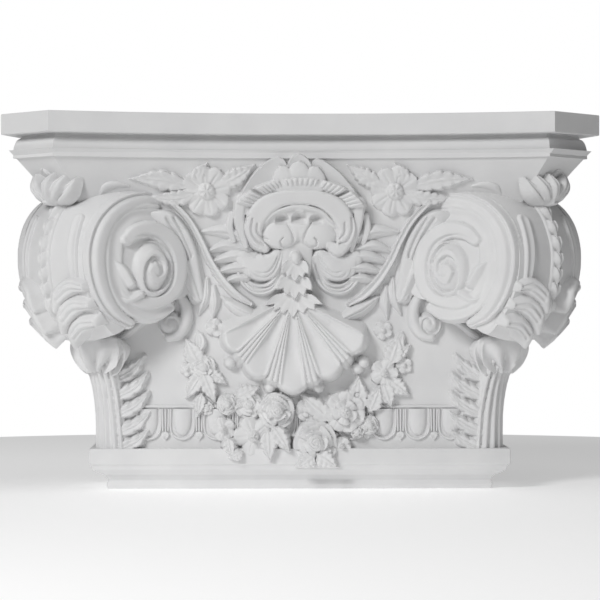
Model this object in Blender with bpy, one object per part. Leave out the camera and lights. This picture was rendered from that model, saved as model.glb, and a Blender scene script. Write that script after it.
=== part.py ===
"""Wall pilaster capital, cast in one piece, with a flat back that meets the wall.

The numbers are millimetres and the mesh is metres. x runs to the right, d runs out from the
wall and z runs up from the underside. The ornaments are placed on a sheet, the front view of a
capital of the sheet's size, and follow the real width and height from there.
"""

import math

import bmesh
import bpy
from mathutils import Vector

MM = 0.001

# Overall sizes
WIDTH = 620.0
DEPTH = 200.0
HEIGHT = 392.0

# Abacus: a slab over a quarter-round, with a hollow front and cut horns
SLAB_HEIGHT = 21.5
MOULD_HEIGHT = 24.0
SLAB_HOLLOW = 40.0
HORN_FACE = 53.5
MOULD_INSET = 11.0
MOULD_SWELL = 7.0
MOULD_LIP = 4.5
NECK_FILLET = 3.5
ARRIS = 1.0
MOULD_STEPS = 3

# Bell, flared at the top, and foot
FOOT_HEIGHT = 43.6
FOOT_MARGIN = 88.0
FOOT_DEPTH = 110.0
LEDGE = 12.0
SIDE_LEDGE = 16.0
BELL_INSET = 14.0
BELL_CORNER = 8.0
FLARE_HEIGHT = 156.0
FLARE_POWER = 1.6
FLARE_STEPS = 4
LAP = 8.0
WALL_RUN = 12.0
# Height on the foot and how far it steps in there
FOOT_PROFILE = (
    (0.0, 18.4), (4.3, 17.0), (9.6, 19.0), (14.9, 15.5),
    (17.3, 9.6), (21.0, 3.7), (25.5, 3.0), (27.4, 0.0),
)

# Corner scrolls
FACE_SET_IN = 88.0
FACE_SET_BACK = 18.0
FACE_TURN = math.radians(35.7)
RIM_SWELL = 8.5
RIM_STEPS = 4

# Front view that the ornaments are placed on
SHEET_WIDTH = 620.0
SHEET_FOOT = 43.6
SHEET_NECK = 346.5

SINK = 5.0
FRONT_STEPS = 8
SIDE_STEPS = 3
HALVINGS = 40
DIAGONAL = math.sqrt(0.5)
SHARP_ANGLE = math.radians(40.0)

# Across a ribbon: place from edge to edge, and share of the crown there
ROUND = ((-1.0, 0.25), (-0.5, 0.9), (0.5, 0.9), (1.0, 0.25))
RIMMED = ((-1.0, 0.8), (-0.6, 1.0), (-0.1, 0.5), (0.6, 0.7), (1.0, 0.35))
VEINED = ((-1.0, 0.2), (-0.5, 1.0), (0.0, 0.5), (0.5, 1.0), (1.0, 0.2))
RIDGE = ((-1.0, 0.2), (0.0, 1.0), (1.0, 0.2))
PLATE = ((-1.0, 1.0), (1.0, 1.0))

# Flower rings: share of the radius, share of the crown, depth of the scallops, twist in petals
DAISY = ((0.3, 0.6, 0.0, 0.0), (0.7, 0.85, 0.1, 0.0), (1.0, 0.4, 0.22, 0.0))
ROSE = ((0.35, 0.6, 0.0, 0.0), (0.6, 0.9, 0.1, 0.5), (1.0, 0.5, 0.12, 0.0))
BUD = ((0.5, 0.85, 0.0, 0.0), (1.0, 0.25, 0.0, 0.0))
PETAL_FALL = 0.35

# Ribbons on the left scroll face, as x, z and half-width
OUTER_BAND = (
    (-144, 302, 5), (-169, 302, 7), (-190, 293, 8), (-204, 275, 8), (-211, 251, 8.5), (-210, 227, 8),
    (-203, 204, 7), (-192, 187, 6), (-181, 177, 4),
)
INNER_BAND = (
    (-109, 216, 6), (-113, 240, 9), (-122, 265, 10), (-137, 283, 10), (-159, 289, 8), (-181, 281, 8),
    (-193, 260, 8), (-196, 233, 8), (-189, 206, 8), (-171, 191, 9), (-151, 197, 9), (-139, 217, 6.5),
    (-139, 242, 6.5), (-149, 263, 6.5), (-161, 270, 6), (-171, 260, 5.5), (-174, 239, 5), (-171, 218, 5.5),
    (-161, 209, 6), (-151, 216, 5), (-148, 231, 4), (-154, 244, 3.5), (-162, 241, 3),
)
SCROLL_OUTLINE = (
    (-116, 279), (-128, 298), (-148, 310), (-172, 312), (-193, 304), (-211, 286), (-220, 264), (-223, 244),
    (-221, 220), (-215, 198), (-204, 178), (-192, 165), (-179, 172), (-160, 183), (-141, 198), (-116, 211),
)
SCROLL_STANDS = (9.0, 15.0, 8.0)
EYE = (-156, 231, 4.5)
HOOK_TIPS = (((-178, 241, 3), (-191, 236, 1)), ((-176, 210, 4), (-186, 203, 1)))

# Ribbons beside the scroll, on the bell
STEM = (
    (-125, 299, 3), (-113, 271, 4), (-102, 247, 5), (-84, 224, 6),
    (-63, 203, 7), (-50, 187, 6), (-39, 175, 2),
)
TAB = ((-125, 250, 6), (-115, 221, 9), (-108, 199, 6))
SMALL_SCROLL = (
    (-180, 162, 2), (-168, 169, 4), (-150, 182, 5), (-135, 198, 5), (-124, 194, 6), (-122, 177, 6),
    (-132, 163, 6), (-145, 166, 5), (-147, 176, 4), (-140, 181, 3),
)
SMALL_SCROLL_SINK = 12.0
SIDE_LEAVES = (
    ((-56, 262, 7), (-78, 272, 10), (-106, 270, 3)),
    ((-54, 250, 7), (-76, 256, 8), (-99, 248, 2)),
    ((-46, 240, 6), (-68, 241, 8), (-92, 230, 2)),
    ((-52, 222, 7), (-68, 224, 7), (-83, 216, 2)),
    ((-97, 225, 3), (-98, 205, 6), (-105, 183, 2)),
    ((-89, 216, 3), (-89, 198, 6), (-90, 180, 2)),
)
FLOWER_LEAVES = (
    ((-118, 319, 4), (-145, 324, 9), (-174, 326, 3)),
    ((-112, 309, 4), (-130, 305, 7), (-152, 307, 2)),
    ((-80, 322, 4), (-68, 331, 8), (-50, 338, 2)),
)

# How far the stem, the tab, the small scroll, the side leaves and the flower's leaves stand off the bell
STEM_STANDS = (11.0, 12.0, 11.0, 13.0, 7.0)

# Cartouche in the middle
MIDDLE = (-1.0, 288.0)
HOOD = (
    (-38, 254, 4), (-48, 263, 7), (-50, 276, 9), (-45, 290, 9), (-34, 300, 8), (-19, 305, 7), (-1, 307, 7),
)
HOOD_STAND = 26.0
CHEEK = (18.0, 269.0, 17.0, 23.0)
SCALLOP = ((-19, 285, 8), (-1, 287, 9), (17, 285, 8))
SCALLOP_STAND = 17.0
STRAPS = (((-62, 305, 6), (-64, 283, 6), (-57, 256, 3)),)
FOLDS = (
    ((-60, 236, 6), (-56, 216, 6), (-38, 208, 6), (-19, 222, 5), (-14, 244, 3)),
    ((-52, 246, 8), (-42, 230, 13), (-28, 240, 9)),
)
STRAP_STAND = 15.0
FOLD_STAND = 17.0
# Outline of the cap behind the hood: a peak and a smaller lobe on either side of it
CAP = (
    (-66, 292), (-65, 305), (-54, 325), (-41, 340), (-23, 349), (-14, 340), (-2, 353), (12, 340), (18, 349),
    (36, 339), (50, 323), (63, 306), (64, 292),
)
# Share of the way from the middle to the cap's outline, and height there
CAP_RISE = ((0.35, 19.0), (0.6, 24.0), (0.84, 19.0), (1.0, 17.0))
# Tiers of the hanging leaf: height, half its length, half its width
TIERS = ((236, 13, 10), (218, 16, 12), (200, 18, 14), (188, 8, 9))
TIER_STAND = 26.0
BUTTON = (-5, 243, 6)
BUTTON_STAND = 29.0

# Shell under the cartouche
SHELL_HINGE = (-8.0, 203.0)
SHELL_REACH = (86.0, 95.0, 103.0, 95.0, 86.0)
LOBE_STEP = math.radians(27.0)
LOBE_HALF = math.radians(9.4)
LOBE_COLUMNS = (-1.0, -0.5, 0.5, 1.0)
LOBE_ROWS = (0.1, 0.5, 0.92, 1.0)
LOBE_END = 0.1
LOBE_DISH = 4.0
LOBE_BULGE = 7.0
SHELL_RISE = (13.0, 27.0)
SHELL_LIP = 0.45
RIB = 3.0
RIB_REACH = 0.87
BERRY = (5.0, 13.0)
HINGE_FLOWER = (9.0, 14.0)
BERRIES = ((-74, 134), (-32, 108), (19, 108), (61, 128))
HINGE_FLOWERS = ((-90, 171), (88, 168))

# Garland: kind, x, z, radius and how far its middle stands off the bell
GARLAND = (
    ("rose", -102, 129, 14, 16), ("daisy", -119, 127, 9, 12), ("bud", -98, 87, 9, 16),
    ("rose", -77, 90, 13, 20), ("rose", -55, 89, 15, 17), ("daisy", -81, 64, 14, 20),
    ("daisy", -49, 57, 22, 28), ("rose", -25, 83, 20, 30), ("rose", 16, 50, 24, 36),
    ("daisy", 44, 47, 13, 26), ("daisy", 47, 82, 23, 28), ("bud", 61, 61, 9, 22),
    ("rose", 74, 70, 12, 20), ("daisy", 89, 123, 17, 18), ("daisy", 110, 131, 9, 12),
    ("bud", 8, 82, 13, 20),
)
SMALL_FLOWER = 10.0
LARGE_FLOWER = 19.0
SPIN = 0.7
SPRIG_TIP = 1.2
# Garland leaves: root, tip, half-width and crown
SPRIGS = (
    (-108, 121, -119, 97, 7, 9), (-104, 122, -90, 96, 7, 11),
    (-100, 124, -82, 113, 5, 9), (-72, 56, -74, 38, 6, 22),
    (-30, 60, -28, 34, 7, 24), (-28, 62, -12, 46, 6, 24),
    (14, 42, 1, 26, 6, 26), (20, 42, 38, 27, 7, 26),
    (66, 82, 66, 116, 9, 15), (74, 84, 82, 106, 7, 15),
    (88, 116, 96, 90, 9, 12), (92, 118, 108, 104, 7, 12),
    (92, 132, 104, 160, 8, 12), (-112, 132, -118, 152, 8, 11),
)
TOP_FLOWER = (-98, 313, 26, 17)

# Egg-and-dart band
EGG_TOP = 85.0
EGG_LOW = 52.5
EGG_PITCH = 35.5
EGG_HALF = 12.4
EGG_COUNT = 5
EGG_HIDDEN = 2
EGG_CROWN = 7.0
# Along an egg's frame, an egg and a dart: share of the height, and half-width
EGG_FRAME = ((1.0, 1.0), (0.5, 1.0), (0.1, 0.75), (0.0, 0.35))
EGG_BODY = ((0.97, 0.72), (0.5, 0.74), (0.15, 0.45))
DART = ((1.0, 0.36), (0.5, 0.28), (0.0, 0.24))
EGG_ON_SIDE = 0.16
FILLET_ENDS = 20.0
FILLET = (3.0, 1.8, 3.0)

# Leaf wrapped round each corner of the bell: z, half-width round the corner, lift
CORNER_ROUND = 14.0
CORNER_LEAF = (
    (40, 33, 2), (72, 36, 4), (84, 31, 5), (108, 33, 9),
    (128, 22, 16), (146, 13, 32), (160, 9, 42), (190, 12, 10),
)
LEAF_FOLDS = 6
LEAF_CROWN = 7.0
LEAF_SINK = 4.0
EDGE_FOLD = 0.25
LOW_FOLD = 0.45
CLUSTER_OUT = 32.0
CLUSTER = (0.0, 322.0, 25.0, 22.0)
CLUSTER_SINK = 30.0
CLUSTER_CUP = ((0, 297, 6, 6), (0, 312, 22, 10), (0, 322, 16, 15))
CUP_CROWN = 10.0
CUP_SINK = 26.0

# On a scroll's rim, rows run along its outline and shares from its front edge to its side edge
HUSK_ROWS = (5.2, 9.6)
HUSKS = 6
HUSK_STRIP = ((0.42, 1.5), (0.5, 3.0), (0.58, 1.5))
STRIP_STEPS = 4
# Along a husk: share of its pitch, half-width and height
HUSK = ((-0.42, 0.06, 1.0), (-0.13, 0.03, 7.0), (0.42, 0.01, 2.0))
# Along a side lobe: row and share of the crown
RIM_LOBE = ((6.3, 0.5), (7.15, 1.0), (8.0, 1.0), (8.85, 0.6))
RIM_LOBE_PLACE = (0.12, 0.06, 5.0)
RIM_LOBE_SINK = 9.0
# Wrapped leaves: row and place across; along one: rows from its middle, half-width, share of the crown
RIM_LEAVES = ((9.2, 0.14), (10.3, 0.2))
RIM_LEAF = ((-0.45, 0.07, 0.4), (0.0, 0.1, 1.0), (0.45, 0.06, 1.1))
RIM_LEAF_CROWN = 9.0


def neck_height():
    return HEIGHT - SLAB_HEIGHT - MOULD_HEIGHT


def bell_half():
    return WIDTH / 2 - FOOT_MARGIN - SIDE_LEDGE


def bell_depth():
    return FOOT_DEPTH - LEDGE


def sheet_x(x):
    return x * WIDTH / SHEET_WIDTH


def sheet_z(z):
    share = (z - SHEET_FOOT) / (SHEET_NECK - SHEET_FOOT)
    return FOOT_HEIGHT + share * (neck_height() - FOOT_HEIGHT)


def abacus_front(x, inset):
    half = WIDTH / 2 - HORN_FACE
    radius = (half**2 + SLAB_HOLLOW**2) / (2 * SLAB_HOLLOW)
    return DEPTH - SLAB_HOLLOW + radius - math.sqrt(radius**2 - x**2) - inset


def abacus_half(inset):
    """Half of the abacus outline, from the middle of the front round the horn to behind the wall."""
    limit = WIDTH / 2 + DEPTH - HORN_FACE - inset / DIAGONAL
    low, high = 0.0, WIDTH / 2 - HORN_FACE
    for _ in range(HALVINGS):
        corner = (low + high) / 2
        if corner + abacus_front(corner, inset) < limit:
            low = corner
        else:
            high = corner
    front = []
    for k in range(FRONT_STEPS + 1):
        x = corner * k / FRONT_STEPS
        front.append((x, abacus_front(x, inset)))
    shift = WIDTH / 2 - DEPTH
    end = shift - WALL_RUN
    side = []
    for k in range(SIDE_STEPS + 1):
        x = corner + (end - corner) * k / SIDE_STEPS
        side.append((shift + abacus_front(x, inset), x - shift))
    return front + side


def bell_low_half():
    """The bell's plan at its foot, point for point with the abacus outline."""
    half, deep = bell_half(), bell_depth()
    front = [((half - BELL_CORNER) * k / FRONT_STEPS, deep) for k in range(FRONT_STEPS + 1)]
    start = deep - BELL_CORNER
    side = [(half, start + (-WALL_RUN - start) * k / SIDE_STEPS) for k in range(SIDE_STEPS + 1)]
    return front + side


def between(start, end, share):
    return tuple(a * (1 - share) + b * share for a, b in zip(start, end))


def ring(half, z):
    """A full outline at one height from its right half."""
    left = [(-x, d, z) for x, d in reversed(half[1:])]
    return left + [(x, d, z) for x, d in half]


def flare(z):
    start = neck_height() - FLARE_HEIGHT
    return max(0.0, (z - start) / FLARE_HEIGHT) ** FLARE_POWER


def bell_front(x, z):
    return bell_depth() + flare(z) * (abacus_front(x, BELL_INSET) - bell_depth())


def face_front(x):
    """Depth of the left scroll's face at x."""
    rim = FACE_SET_IN - WIDTH / 2
    return DEPTH - FACE_SET_BACK - (x - rim) * math.tan(FACE_TURN)


def on_bell(x, z, h):
    x, z = sheet_x(x), sheet_z(z)
    return (x, bell_front(x, z) + h, z)


def on_face(x, z, h):
    x = sheet_x(x)
    return (x + h * math.sin(FACE_TURN), face_front(x) + h * math.cos(FACE_TURN), sheet_z(z))


def on_foot(x, z, h):
    """Spot on the bell that also clears the foot below it."""
    x, z = sheet_x(x), sheet_z(z)
    return (x, bell_depth() + h, z)


def on_side(u, z, h):
    """Spot on the bell's left side, u out from the wall."""
    return (-bell_half() - h, u, sheet_z(z))


def on_corner(u, z, h):
    """Spot round the bell's left front corner: u is the way round from the diagonal, to the front."""
    turn = CORNER_ROUND * math.pi / 4
    angle = math.pi * 3 / 4 - max(-turn, min(turn, u)) / CORNER_ROUND
    run = max(0.0, abs(u) - turn)
    x = -bell_half() + CORNER_ROUND + (CORNER_ROUND + h) * math.cos(angle)
    d = bell_depth() - CORNER_ROUND + (CORNER_ROUND + h) * math.sin(angle)
    return (x + run, d, sheet_z(z)) if u > 0 else (x, d - run, sheet_z(z))


def across_diagonal(point):
    x, d, z = point
    shift = WIDTH / 2 - DEPTH
    return (-shift - d, -shift - x, z)


def outward(k):
    """Direction out of the scroll's outline at one of its points, in the front view."""
    before, after = SCROLL_OUTLINE[k - 1], SCROLL_OUTLINE[(k + 1) % len(SCROLL_OUTLINE)]
    return Vector((after[1] - before[1], before[0] - after[0])).normalized()


def on_side_face(x, z, h):
    return across_diagonal(on_face(x, z, h))


def on_rim(row, across, h):
    """Spot on the scroll's rim: row runs along the outline, across from its front edge to its side edge."""
    k = min(int(row), len(SCROLL_OUTLINE) - 2)
    share = row - k
    here, there = Vector(SCROLL_OUTLINE[k]), Vector(SCROLL_OUTLINE[k + 1])
    place = here.lerp(there, share)
    out = outward(k).lerp(outward(k + 1), share)
    lift = h + RIM_SWELL * math.sin(math.pi * across)
    front = on_face(place.x, place.y, 0.0)
    side = across_diagonal(front)
    x, d, z = between(front, side, across)
    return (x + out.x * lift * DIAGONAL, d - out.x * lift * DIAGONAL, z + out.y * lift)


def to_world(point):
    x, d, z = point
    return Vector((x * MM, (DEPTH / 2 - d) * MM, z * MM))


def mirrored(point):
    return (-point[0], point[1], point[2])


def plaster():
    material = bpy.data.materials.new("primed casting")
    material.use_nodes = True
    shader = material.node_tree.nodes["Principled BSDF"]
    shader.inputs["Base Color"].default_value = (0.78, 0.78, 0.78, 1.0)
    shader.inputs["Roughness"].default_value = 0.6
    shader.inputs["Metallic"].default_value = 0.0
    return material


def solid(name, points, faces):
    """A closed mesh object from points on the capital and faces between them."""
    build = bmesh.new()
    verts = [build.verts.new(to_world(point)) for point in points]
    for face in faces:
        build.faces.new([verts[k] for k in face])
    bmesh.ops.recalc_face_normals(build, faces=build.faces)
    mesh = bpy.data.meshes.new(name)
    build.to_mesh(mesh)
    build.free()
    return bpy.data.objects.new(name, mesh)


def loft(name, rings):
    count = len(rings[0])
    points = [point for row in rings for point in row]
    faces = [list(range(count)), [len(points) - 1 - k for k in range(count)]]
    for row in range(len(rings) - 1):
        low, high = row * count, (row + 1) * count
        for k in range(count):
            after = (k + 1) % count
            faces.append([low + k, low + after, high + after, high + k])
    return solid(name, points, faces)


class Relief:
    """Closed shapes to be joined to the bell, with their mirror images."""

    def __init__(self):
        self.collection = bpy.data.collections.new("relief")
        bpy.context.scene.collection.children.link(self.collection)
        self.count = 0

    def add(self, points, faces, diagonal=False, mirror=False):
        copies = [points]
        if diagonal:
            copies.append([across_diagonal(point) for point in points])
        if mirror:
            copies += [[mirrored(point) for point in copy] for copy in copies]
        for copy in copies:
            self.count += 1
            shape = solid(f"relief_{self.count}", copy, faces)
            shape.hide_render = True
            shape.display_type = "WIRE"
            self.collection.objects.link(shape)

    def cushion(self, spot, grid, sink=SINK, **copies):
        """A grid of (u, v, height) laid on a surface, its two long edges dropped below the surface."""
        points = []
        for row in grid:
            points += [spot(u, v, h) for u, v, h in row]
            points += [spot(row[-1][0], row[-1][1], -sink), spot(row[0][0], row[0][1], -sink)]
        around = len(grid[0]) + 2
        faces = [list(range(around)), [len(points) - 1 - k for k in range(around)]]
        for low in range(0, len(points) - around, around):
            for k in range(around):
                after = (k + 1) % around
                faces.append([low + k, low + after, low + around + after, low + around + k])
        self.add(points, faces, **copies)

    def ribbon(self, spot, spine, crown, section=ROUND, sink=SINK, **copies):
        """A raised ribbon along a spine of (u, v, half-width), or of (u, v, half-width, lift)."""
        widest = max(point[2] for point in spine)
        grid = []
        for k, point in enumerate(spine):
            before, after = spine[max(k - 1, 0)], spine[min(k + 1, len(spine) - 1)]
            along = Vector((after[0] - before[0], after[1] - before[1])).normalized()
            tall = crown * math.sqrt(point[2] / widest)
            lift = point[3] if len(point) > 3 else 0.0
            grid.append([
                (point[0] - along.y * s * point[2], point[1] + along.x * s * point[2], lift + tall * h)
                for s, h in section
            ])
        self.cushion(spot, grid, sink, **copies)

    def flower(self, spot, x, z, radius, crown, rings, petals=5, spin=0.0, sink=SINK, **copies):
        """A round flower head: a middle, rings of petals and an edge dropped below the surface."""
        around = petals * 2
        points = [spot(x, z, crown)]
        outer = []
        for share, height, scallop, twist in rings:
            outer = []
            for k in range(around):
                angle = 2 * math.pi * k / around + spin
                notch = 0.5 - 0.5 * math.cos(petals * (angle - spin) + 2 * math.pi * twist)
                reach = radius * share * (1 - scallop * notch)
                outer.append((x + reach * math.cos(angle), z + reach * math.sin(angle)))
                fall = PETAL_FALL * notch if scallop else 0.0
                points.append(spot(*outer[-1], crown * height * (1 - fall)))
        points += [spot(u, v, -sink) for u, v in outer]
        faces = [[0, 1 + k, 1 + (k + 1) % around] for k in range(around)]
        for row in range(len(rings)):
            low = 1 + row * around
            for k in range(around):
                after = (k + 1) % around
                faces.append([low + k, low + around + k, low + around + after, low + after])
        start = 1 + len(rings) * around
        faces.append([start + k for k in range(around)])
        self.add(points, faces, **copies)


def make_abacus():
    neck = neck_height()
    low = neck + MOULD_LIP
    top = neck + MOULD_HEIGHT - NECK_FILLET
    profile = [(neck, MOULD_INSET)]
    for k in range(MOULD_STEPS + 1):
        angle = math.pi / 2 * k / MOULD_STEPS
        swell = MOULD_SWELL * (1 - math.cos(angle))
        profile.append((low + (top - low) * math.sin(angle), MOULD_INSET + swell))
    under = neck + MOULD_HEIGHT
    profile += [(under, MOULD_INSET + MOULD_SWELL + ARRIS), (under, 0.0)]
    profile += [(HEIGHT - ARRIS, 0.0), (HEIGHT, ARRIS)]
    return loft("abacus", [ring(abacus_half(inset), z) for z, inset in profile])


def make_bell():
    low, high = bell_low_half(), abacus_half(BELL_INSET)
    neck = neck_height()
    start = neck - FLARE_HEIGHT
    levels = [FOOT_HEIGHT - LAP, start]
    levels += [start + FLARE_HEIGHT * (k + 1) / FLARE_STEPS for k in range(FLARE_STEPS)]
    rings = []
    for z in levels:
        share = flare(z)
        rings.append(ring([between(p, q, share) for p, q in zip(low, high)], z))
    rings.append(ring(high, neck + LAP))
    return loft("bell", rings)


def make_foot():
    half = WIDTH / 2 - FOOT_MARGIN
    rings = []
    for z, inset in FOOT_PROFILE + ((FOOT_HEIGHT, 0.0),):
        edge = FOOT_DEPTH - inset
        rings.append(ring([(0.0, edge), (half - inset, edge), (half - inset, -WALL_RUN)], z))
    return loft("foot", rings)


def add_scroll_blocks(relief):
    """The body between a scroll's two faces, with its swelling rim."""
    count = len(SCROLL_OUTLINE)
    points, faces = [], []
    for k, (x, z) in enumerate(SCROLL_OUTLINE):
        front = on_face(x, z, 0.0)
        side = across_diagonal(front)
        out = outward(k)
        for j in range(RIM_STEPS + 1):
            across = j / RIM_STEPS
            lift = RIM_SWELL * math.sin(math.pi * across)
            x, d, z = between(front, side, across)
            points.append((x + out.x * lift * DIAGONAL, d - out.x * lift * DIAGONAL, z + out.y * lift))
    span = RIM_STEPS + 1
    for k in range(count):
        after = (k + 1) % count
        for j in range(RIM_STEPS):
            faces.append([k * span + j, k * span + j + 1, after * span + j + 1, after * span + j])
    faces.append([k * span for k in range(count)])
    faces.append([k * span + RIM_STEPS for k in range(count)])
    relief.add(points, faces, mirror=True)


def add_scroll_faces(relief):
    outer, inner, hooks = SCROLL_STANDS
    relief.ribbon(on_face, OUTER_BAND, outer, ROUND, mirror=True)
    relief.ribbon(on_face, INNER_BAND, inner, ROUND, mirror=True)
    relief.ribbon(on_side_face, INNER_BAND[::2], inner, ROUND, mirror=True)
    x, z, radius = EYE
    relief.flower(on_face, x, z, radius, inner, BUD, petals=3, diagonal=True, mirror=True)
    for tip in HOOK_TIPS:
        relief.ribbon(on_face, tip, hooks, RIDGE, mirror=True)


def add_rims(relief):
    """Husk strip, side lobes and wrapped leaves on each scroll's rim."""
    first, last = HUSK_ROWS
    pitch = (last - first) / HUSKS
    strip = []
    for k in range(STRIP_STEPS + 1):
        row = first + (last - first) * k / STRIP_STEPS
        strip.append([(row, across, h) for across, h in HUSK_STRIP])
    relief.cushion(on_rim, strip, mirror=True)
    for k in range(HUSKS):
        row = first + pitch * (k + 0.5)
        husk = [[(row + pitch * run, 0.5 + s * half, h) for s in (-1, 1)] for run, half, h in HUSK]
        relief.cushion(on_rim, husk, sink=0.5, mirror=True)
    middle, half, crown = RIM_LOBE_PLACE
    lobe = [[(row, middle + half * s, 1.0 + crown * h * tall) for s, h in ROUND] for row, tall in RIM_LOBE]
    relief.cushion(on_rim, lobe, sink=RIM_LOBE_SINK, diagonal=True, mirror=True)
    for row, middle in RIM_LEAVES:
        leaf = []
        for run, half, tall in RIM_LEAF:
            leaf.append([(row + run, middle + half * s, 2.0 + RIM_LEAF_CROWN * h * tall) for s, h in ROUND])
        relief.cushion(on_rim, leaf, diagonal=True, mirror=True)


def add_stems(relief):
    stem, tab, small, side, under = STEM_STANDS
    relief.ribbon(on_bell, STEM, stem, ROUND, mirror=True)
    relief.ribbon(on_bell, TAB, tab, ROUND, mirror=True)
    relief.ribbon(on_bell, SMALL_SCROLL, small, RIDGE, sink=SMALL_SCROLL_SINK, mirror=True)
    for leaf in SIDE_LEAVES:
        relief.ribbon(on_bell, leaf, side, RIDGE, mirror=True)
    for leaf in FLOWER_LEAVES:
        relief.ribbon(on_bell, leaf, under, RIDGE, mirror=True)
    x, z, radius, crown = TOP_FLOWER
    relief.flower(on_bell, x, z, radius, crown, DAISY, petals=6, mirror=True)


def under_horn(u, z, h):
    """Spot on the cluster under the left horn: u across the diagonal and h outwards."""
    reach = FACE_SET_IN - WIDTH / 2 - CLUSTER_OUT
    shift = WIDTH / 2 - DEPTH
    return (reach + (u - h) * DIAGONAL, -shift - reach + (u + h) * DIAGONAL, sheet_z(z))


def leaf_fold(k):
    """Share of the corner leaf's crown at one of its folds."""
    return EDGE_FOLD if k in (0, LEAF_FOLDS) else LOW_FOLD + (1 - LOW_FOLD) * (k % 2)


def add_corners(relief):
    leaf = []
    for z, half, lift in CORNER_LEAF:
        row = []
        for k in range(LEAF_FOLDS + 1):
            row.append((half * (2 * k / LEAF_FOLDS - 1), z, lift + LEAF_CROWN * leaf_fold(k)))
        leaf.append(row)
    relief.cushion(on_corner, leaf, sink=LEAF_SINK, mirror=True)
    x, z, radius, crown = CLUSTER
    relief.flower(under_horn, x, z, radius, crown, ROSE, sink=CLUSTER_SINK, mirror=True)
    relief.ribbon(under_horn, CLUSTER_CUP, CUP_CROWN, VEINED, sink=CUP_SINK, mirror=True)


def add_cap(relief):
    """The notched cap behind the hood, fanned from the cartouche's middle."""
    x, z = MIDDLE
    cap = []
    for u, v in CAP:
        cap.append([(x + (u - x) * share, z + (v - z) * share, h) for share, h in CAP_RISE])
    relief.cushion(on_bell, cap)


def add_cartouche(relief):
    add_cap(relief)
    x, z = MIDDLE
    hood = HOOD + tuple((2 * x - u, v, half) for u, v, half in reversed(HOOD[:-1]))
    relief.ribbon(on_bell, hood, HOOD_STAND, RIMMED)
    side, height, radius, stand = CHEEK
    for u in (x - side, x + side):
        relief.flower(on_bell, u, height, radius, stand, BUD, petals=4)
    for u, v, radius in SCALLOP:
        relief.flower(on_bell, u, v, radius, SCALLOP_STAND, BUD, petals=4)
    for strap in STRAPS:
        relief.ribbon(on_bell, strap, STRAP_STAND, RIDGE, mirror=True)
    for fold in FOLDS:
        relief.ribbon(on_bell, fold, FOLD_STAND, ROUND, mirror=True)
    x, z, radius = BUTTON
    for v, tall, half in TIERS:
        tier = ((x, v + tall, half * 0.6), (x, v, half), (x - 1, v - tall, half * 0.4))
        relief.ribbon(on_bell, tier, TIER_STAND, RIDGE)
    relief.flower(on_bell, x, z, radius, BUTTON_STAND, BUD, petals=4)


def shell_columns():
    """Angle, reach and place across its lobe of each column, and of the rib between two lobes."""
    columns = []
    for lobe, reach in enumerate(SHELL_REACH):
        middle = (lobe - len(SHELL_REACH) // 2) * LOBE_STEP
        for s in LOBE_COLUMNS:
            columns.append((middle + s * LOBE_HALF, reach * (1 - LOBE_END * s * s), s))
        if lobe < len(SHELL_REACH) - 1:
            low = RIB_REACH * (reach + SHELL_REACH[lobe + 1]) / 2
            columns.append((middle + LOBE_STEP / 2, low, None))
    return columns


def shell_lift(t, s):
    """Height at a share of the reach, and across a lobe, or on a rib where s is None."""
    rise = SHELL_RISE[0] + (SHELL_RISE[1] - SHELL_RISE[0]) * t
    rise += RIB if s is None else (1 - t) * LOBE_DISH * s * s + t * LOBE_BULGE * (1 - s * s)
    return rise * (SHELL_LIP if t == 1.0 else 1.0)


def add_shell(relief):
    """Five lobes fanned from a hinge, with a rib between neighbours."""
    x, z = SHELL_HINGE
    grid = []
    for angle, reach, s in shell_columns():
        out = (math.sin(angle) * reach, -math.cos(angle) * reach)
        grid.append([(x + out[0] * t, z + out[1] * t, shell_lift(t, s)) for t in LOBE_ROWS])
    relief.cushion(on_foot, grid)
    for u, v in BERRIES:
        relief.flower(on_foot, u, v, *BERRY, BUD, petals=3)
    for u, v in HINGE_FLOWERS:
        relief.flower(on_foot, u, v, *HINGE_FLOWER, DAISY, petals=3)


def add_garland(relief):
    kinds = {"rose": ROSE, "daisy": DAISY, "bud": BUD}
    for k, (kind, x, z, radius, stand) in enumerate(GARLAND):
        petals = 3 if radius < SMALL_FLOWER else 5
        rings = kinds[kind][-2:] if radius < LARGE_FLOWER else kinds[kind]
        relief.flower(on_foot, x, z, radius, stand, rings, petals, SPIN * k)
    for x, z, tip_x, tip_z, half, stand in SPRIGS:
        middle = ((x + tip_x) / 2, (z + tip_z) / 2, half)
        relief.ribbon(on_foot, ((x, z, half / 2), middle, (tip_x, tip_z, SPRIG_TIP)), stand, RIDGE)


def egg_spine(u, shape):
    tall = EGG_TOP - EGG_LOW
    return [(u, EGG_LOW + tall * share, EGG_HALF * half) for share, half in shape]


def add_egg(relief, spot, u):
    relief.ribbon(spot, egg_spine(u, EGG_FRAME), EGG_CROWN * 0.5, PLATE, mirror=True)
    relief.ribbon(spot, egg_spine(u, EGG_BODY), EGG_CROWN, ROUND, mirror=True)


def add_eggs(relief):
    """Egg-and-dart along the front and, plainer, along both sides."""
    for k in range(EGG_HIDDEN, EGG_COUNT + 1):
        relief.ribbon(on_bell, egg_spine(-k * EGG_PITCH, DART), EGG_CROWN * 0.6, RIDGE, mirror=True)
    for k in range(EGG_HIDDEN, EGG_COUNT):
        add_egg(relief, on_bell, -(k + 0.5) * EGG_PITCH)
    add_egg(relief, on_side, bell_depth() * EGG_ON_SIDE)
    above, half, crown = FILLET
    end = SHEET_WIDTH / 2 - FOOT_MARGIN - SIDE_LEDGE - FILLET_ENDS
    fillet = ((-end, EGG_TOP + above, half), (end, EGG_TOP + above, half))
    relief.ribbon(on_bell, fillet, crown, RIDGE)


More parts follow.
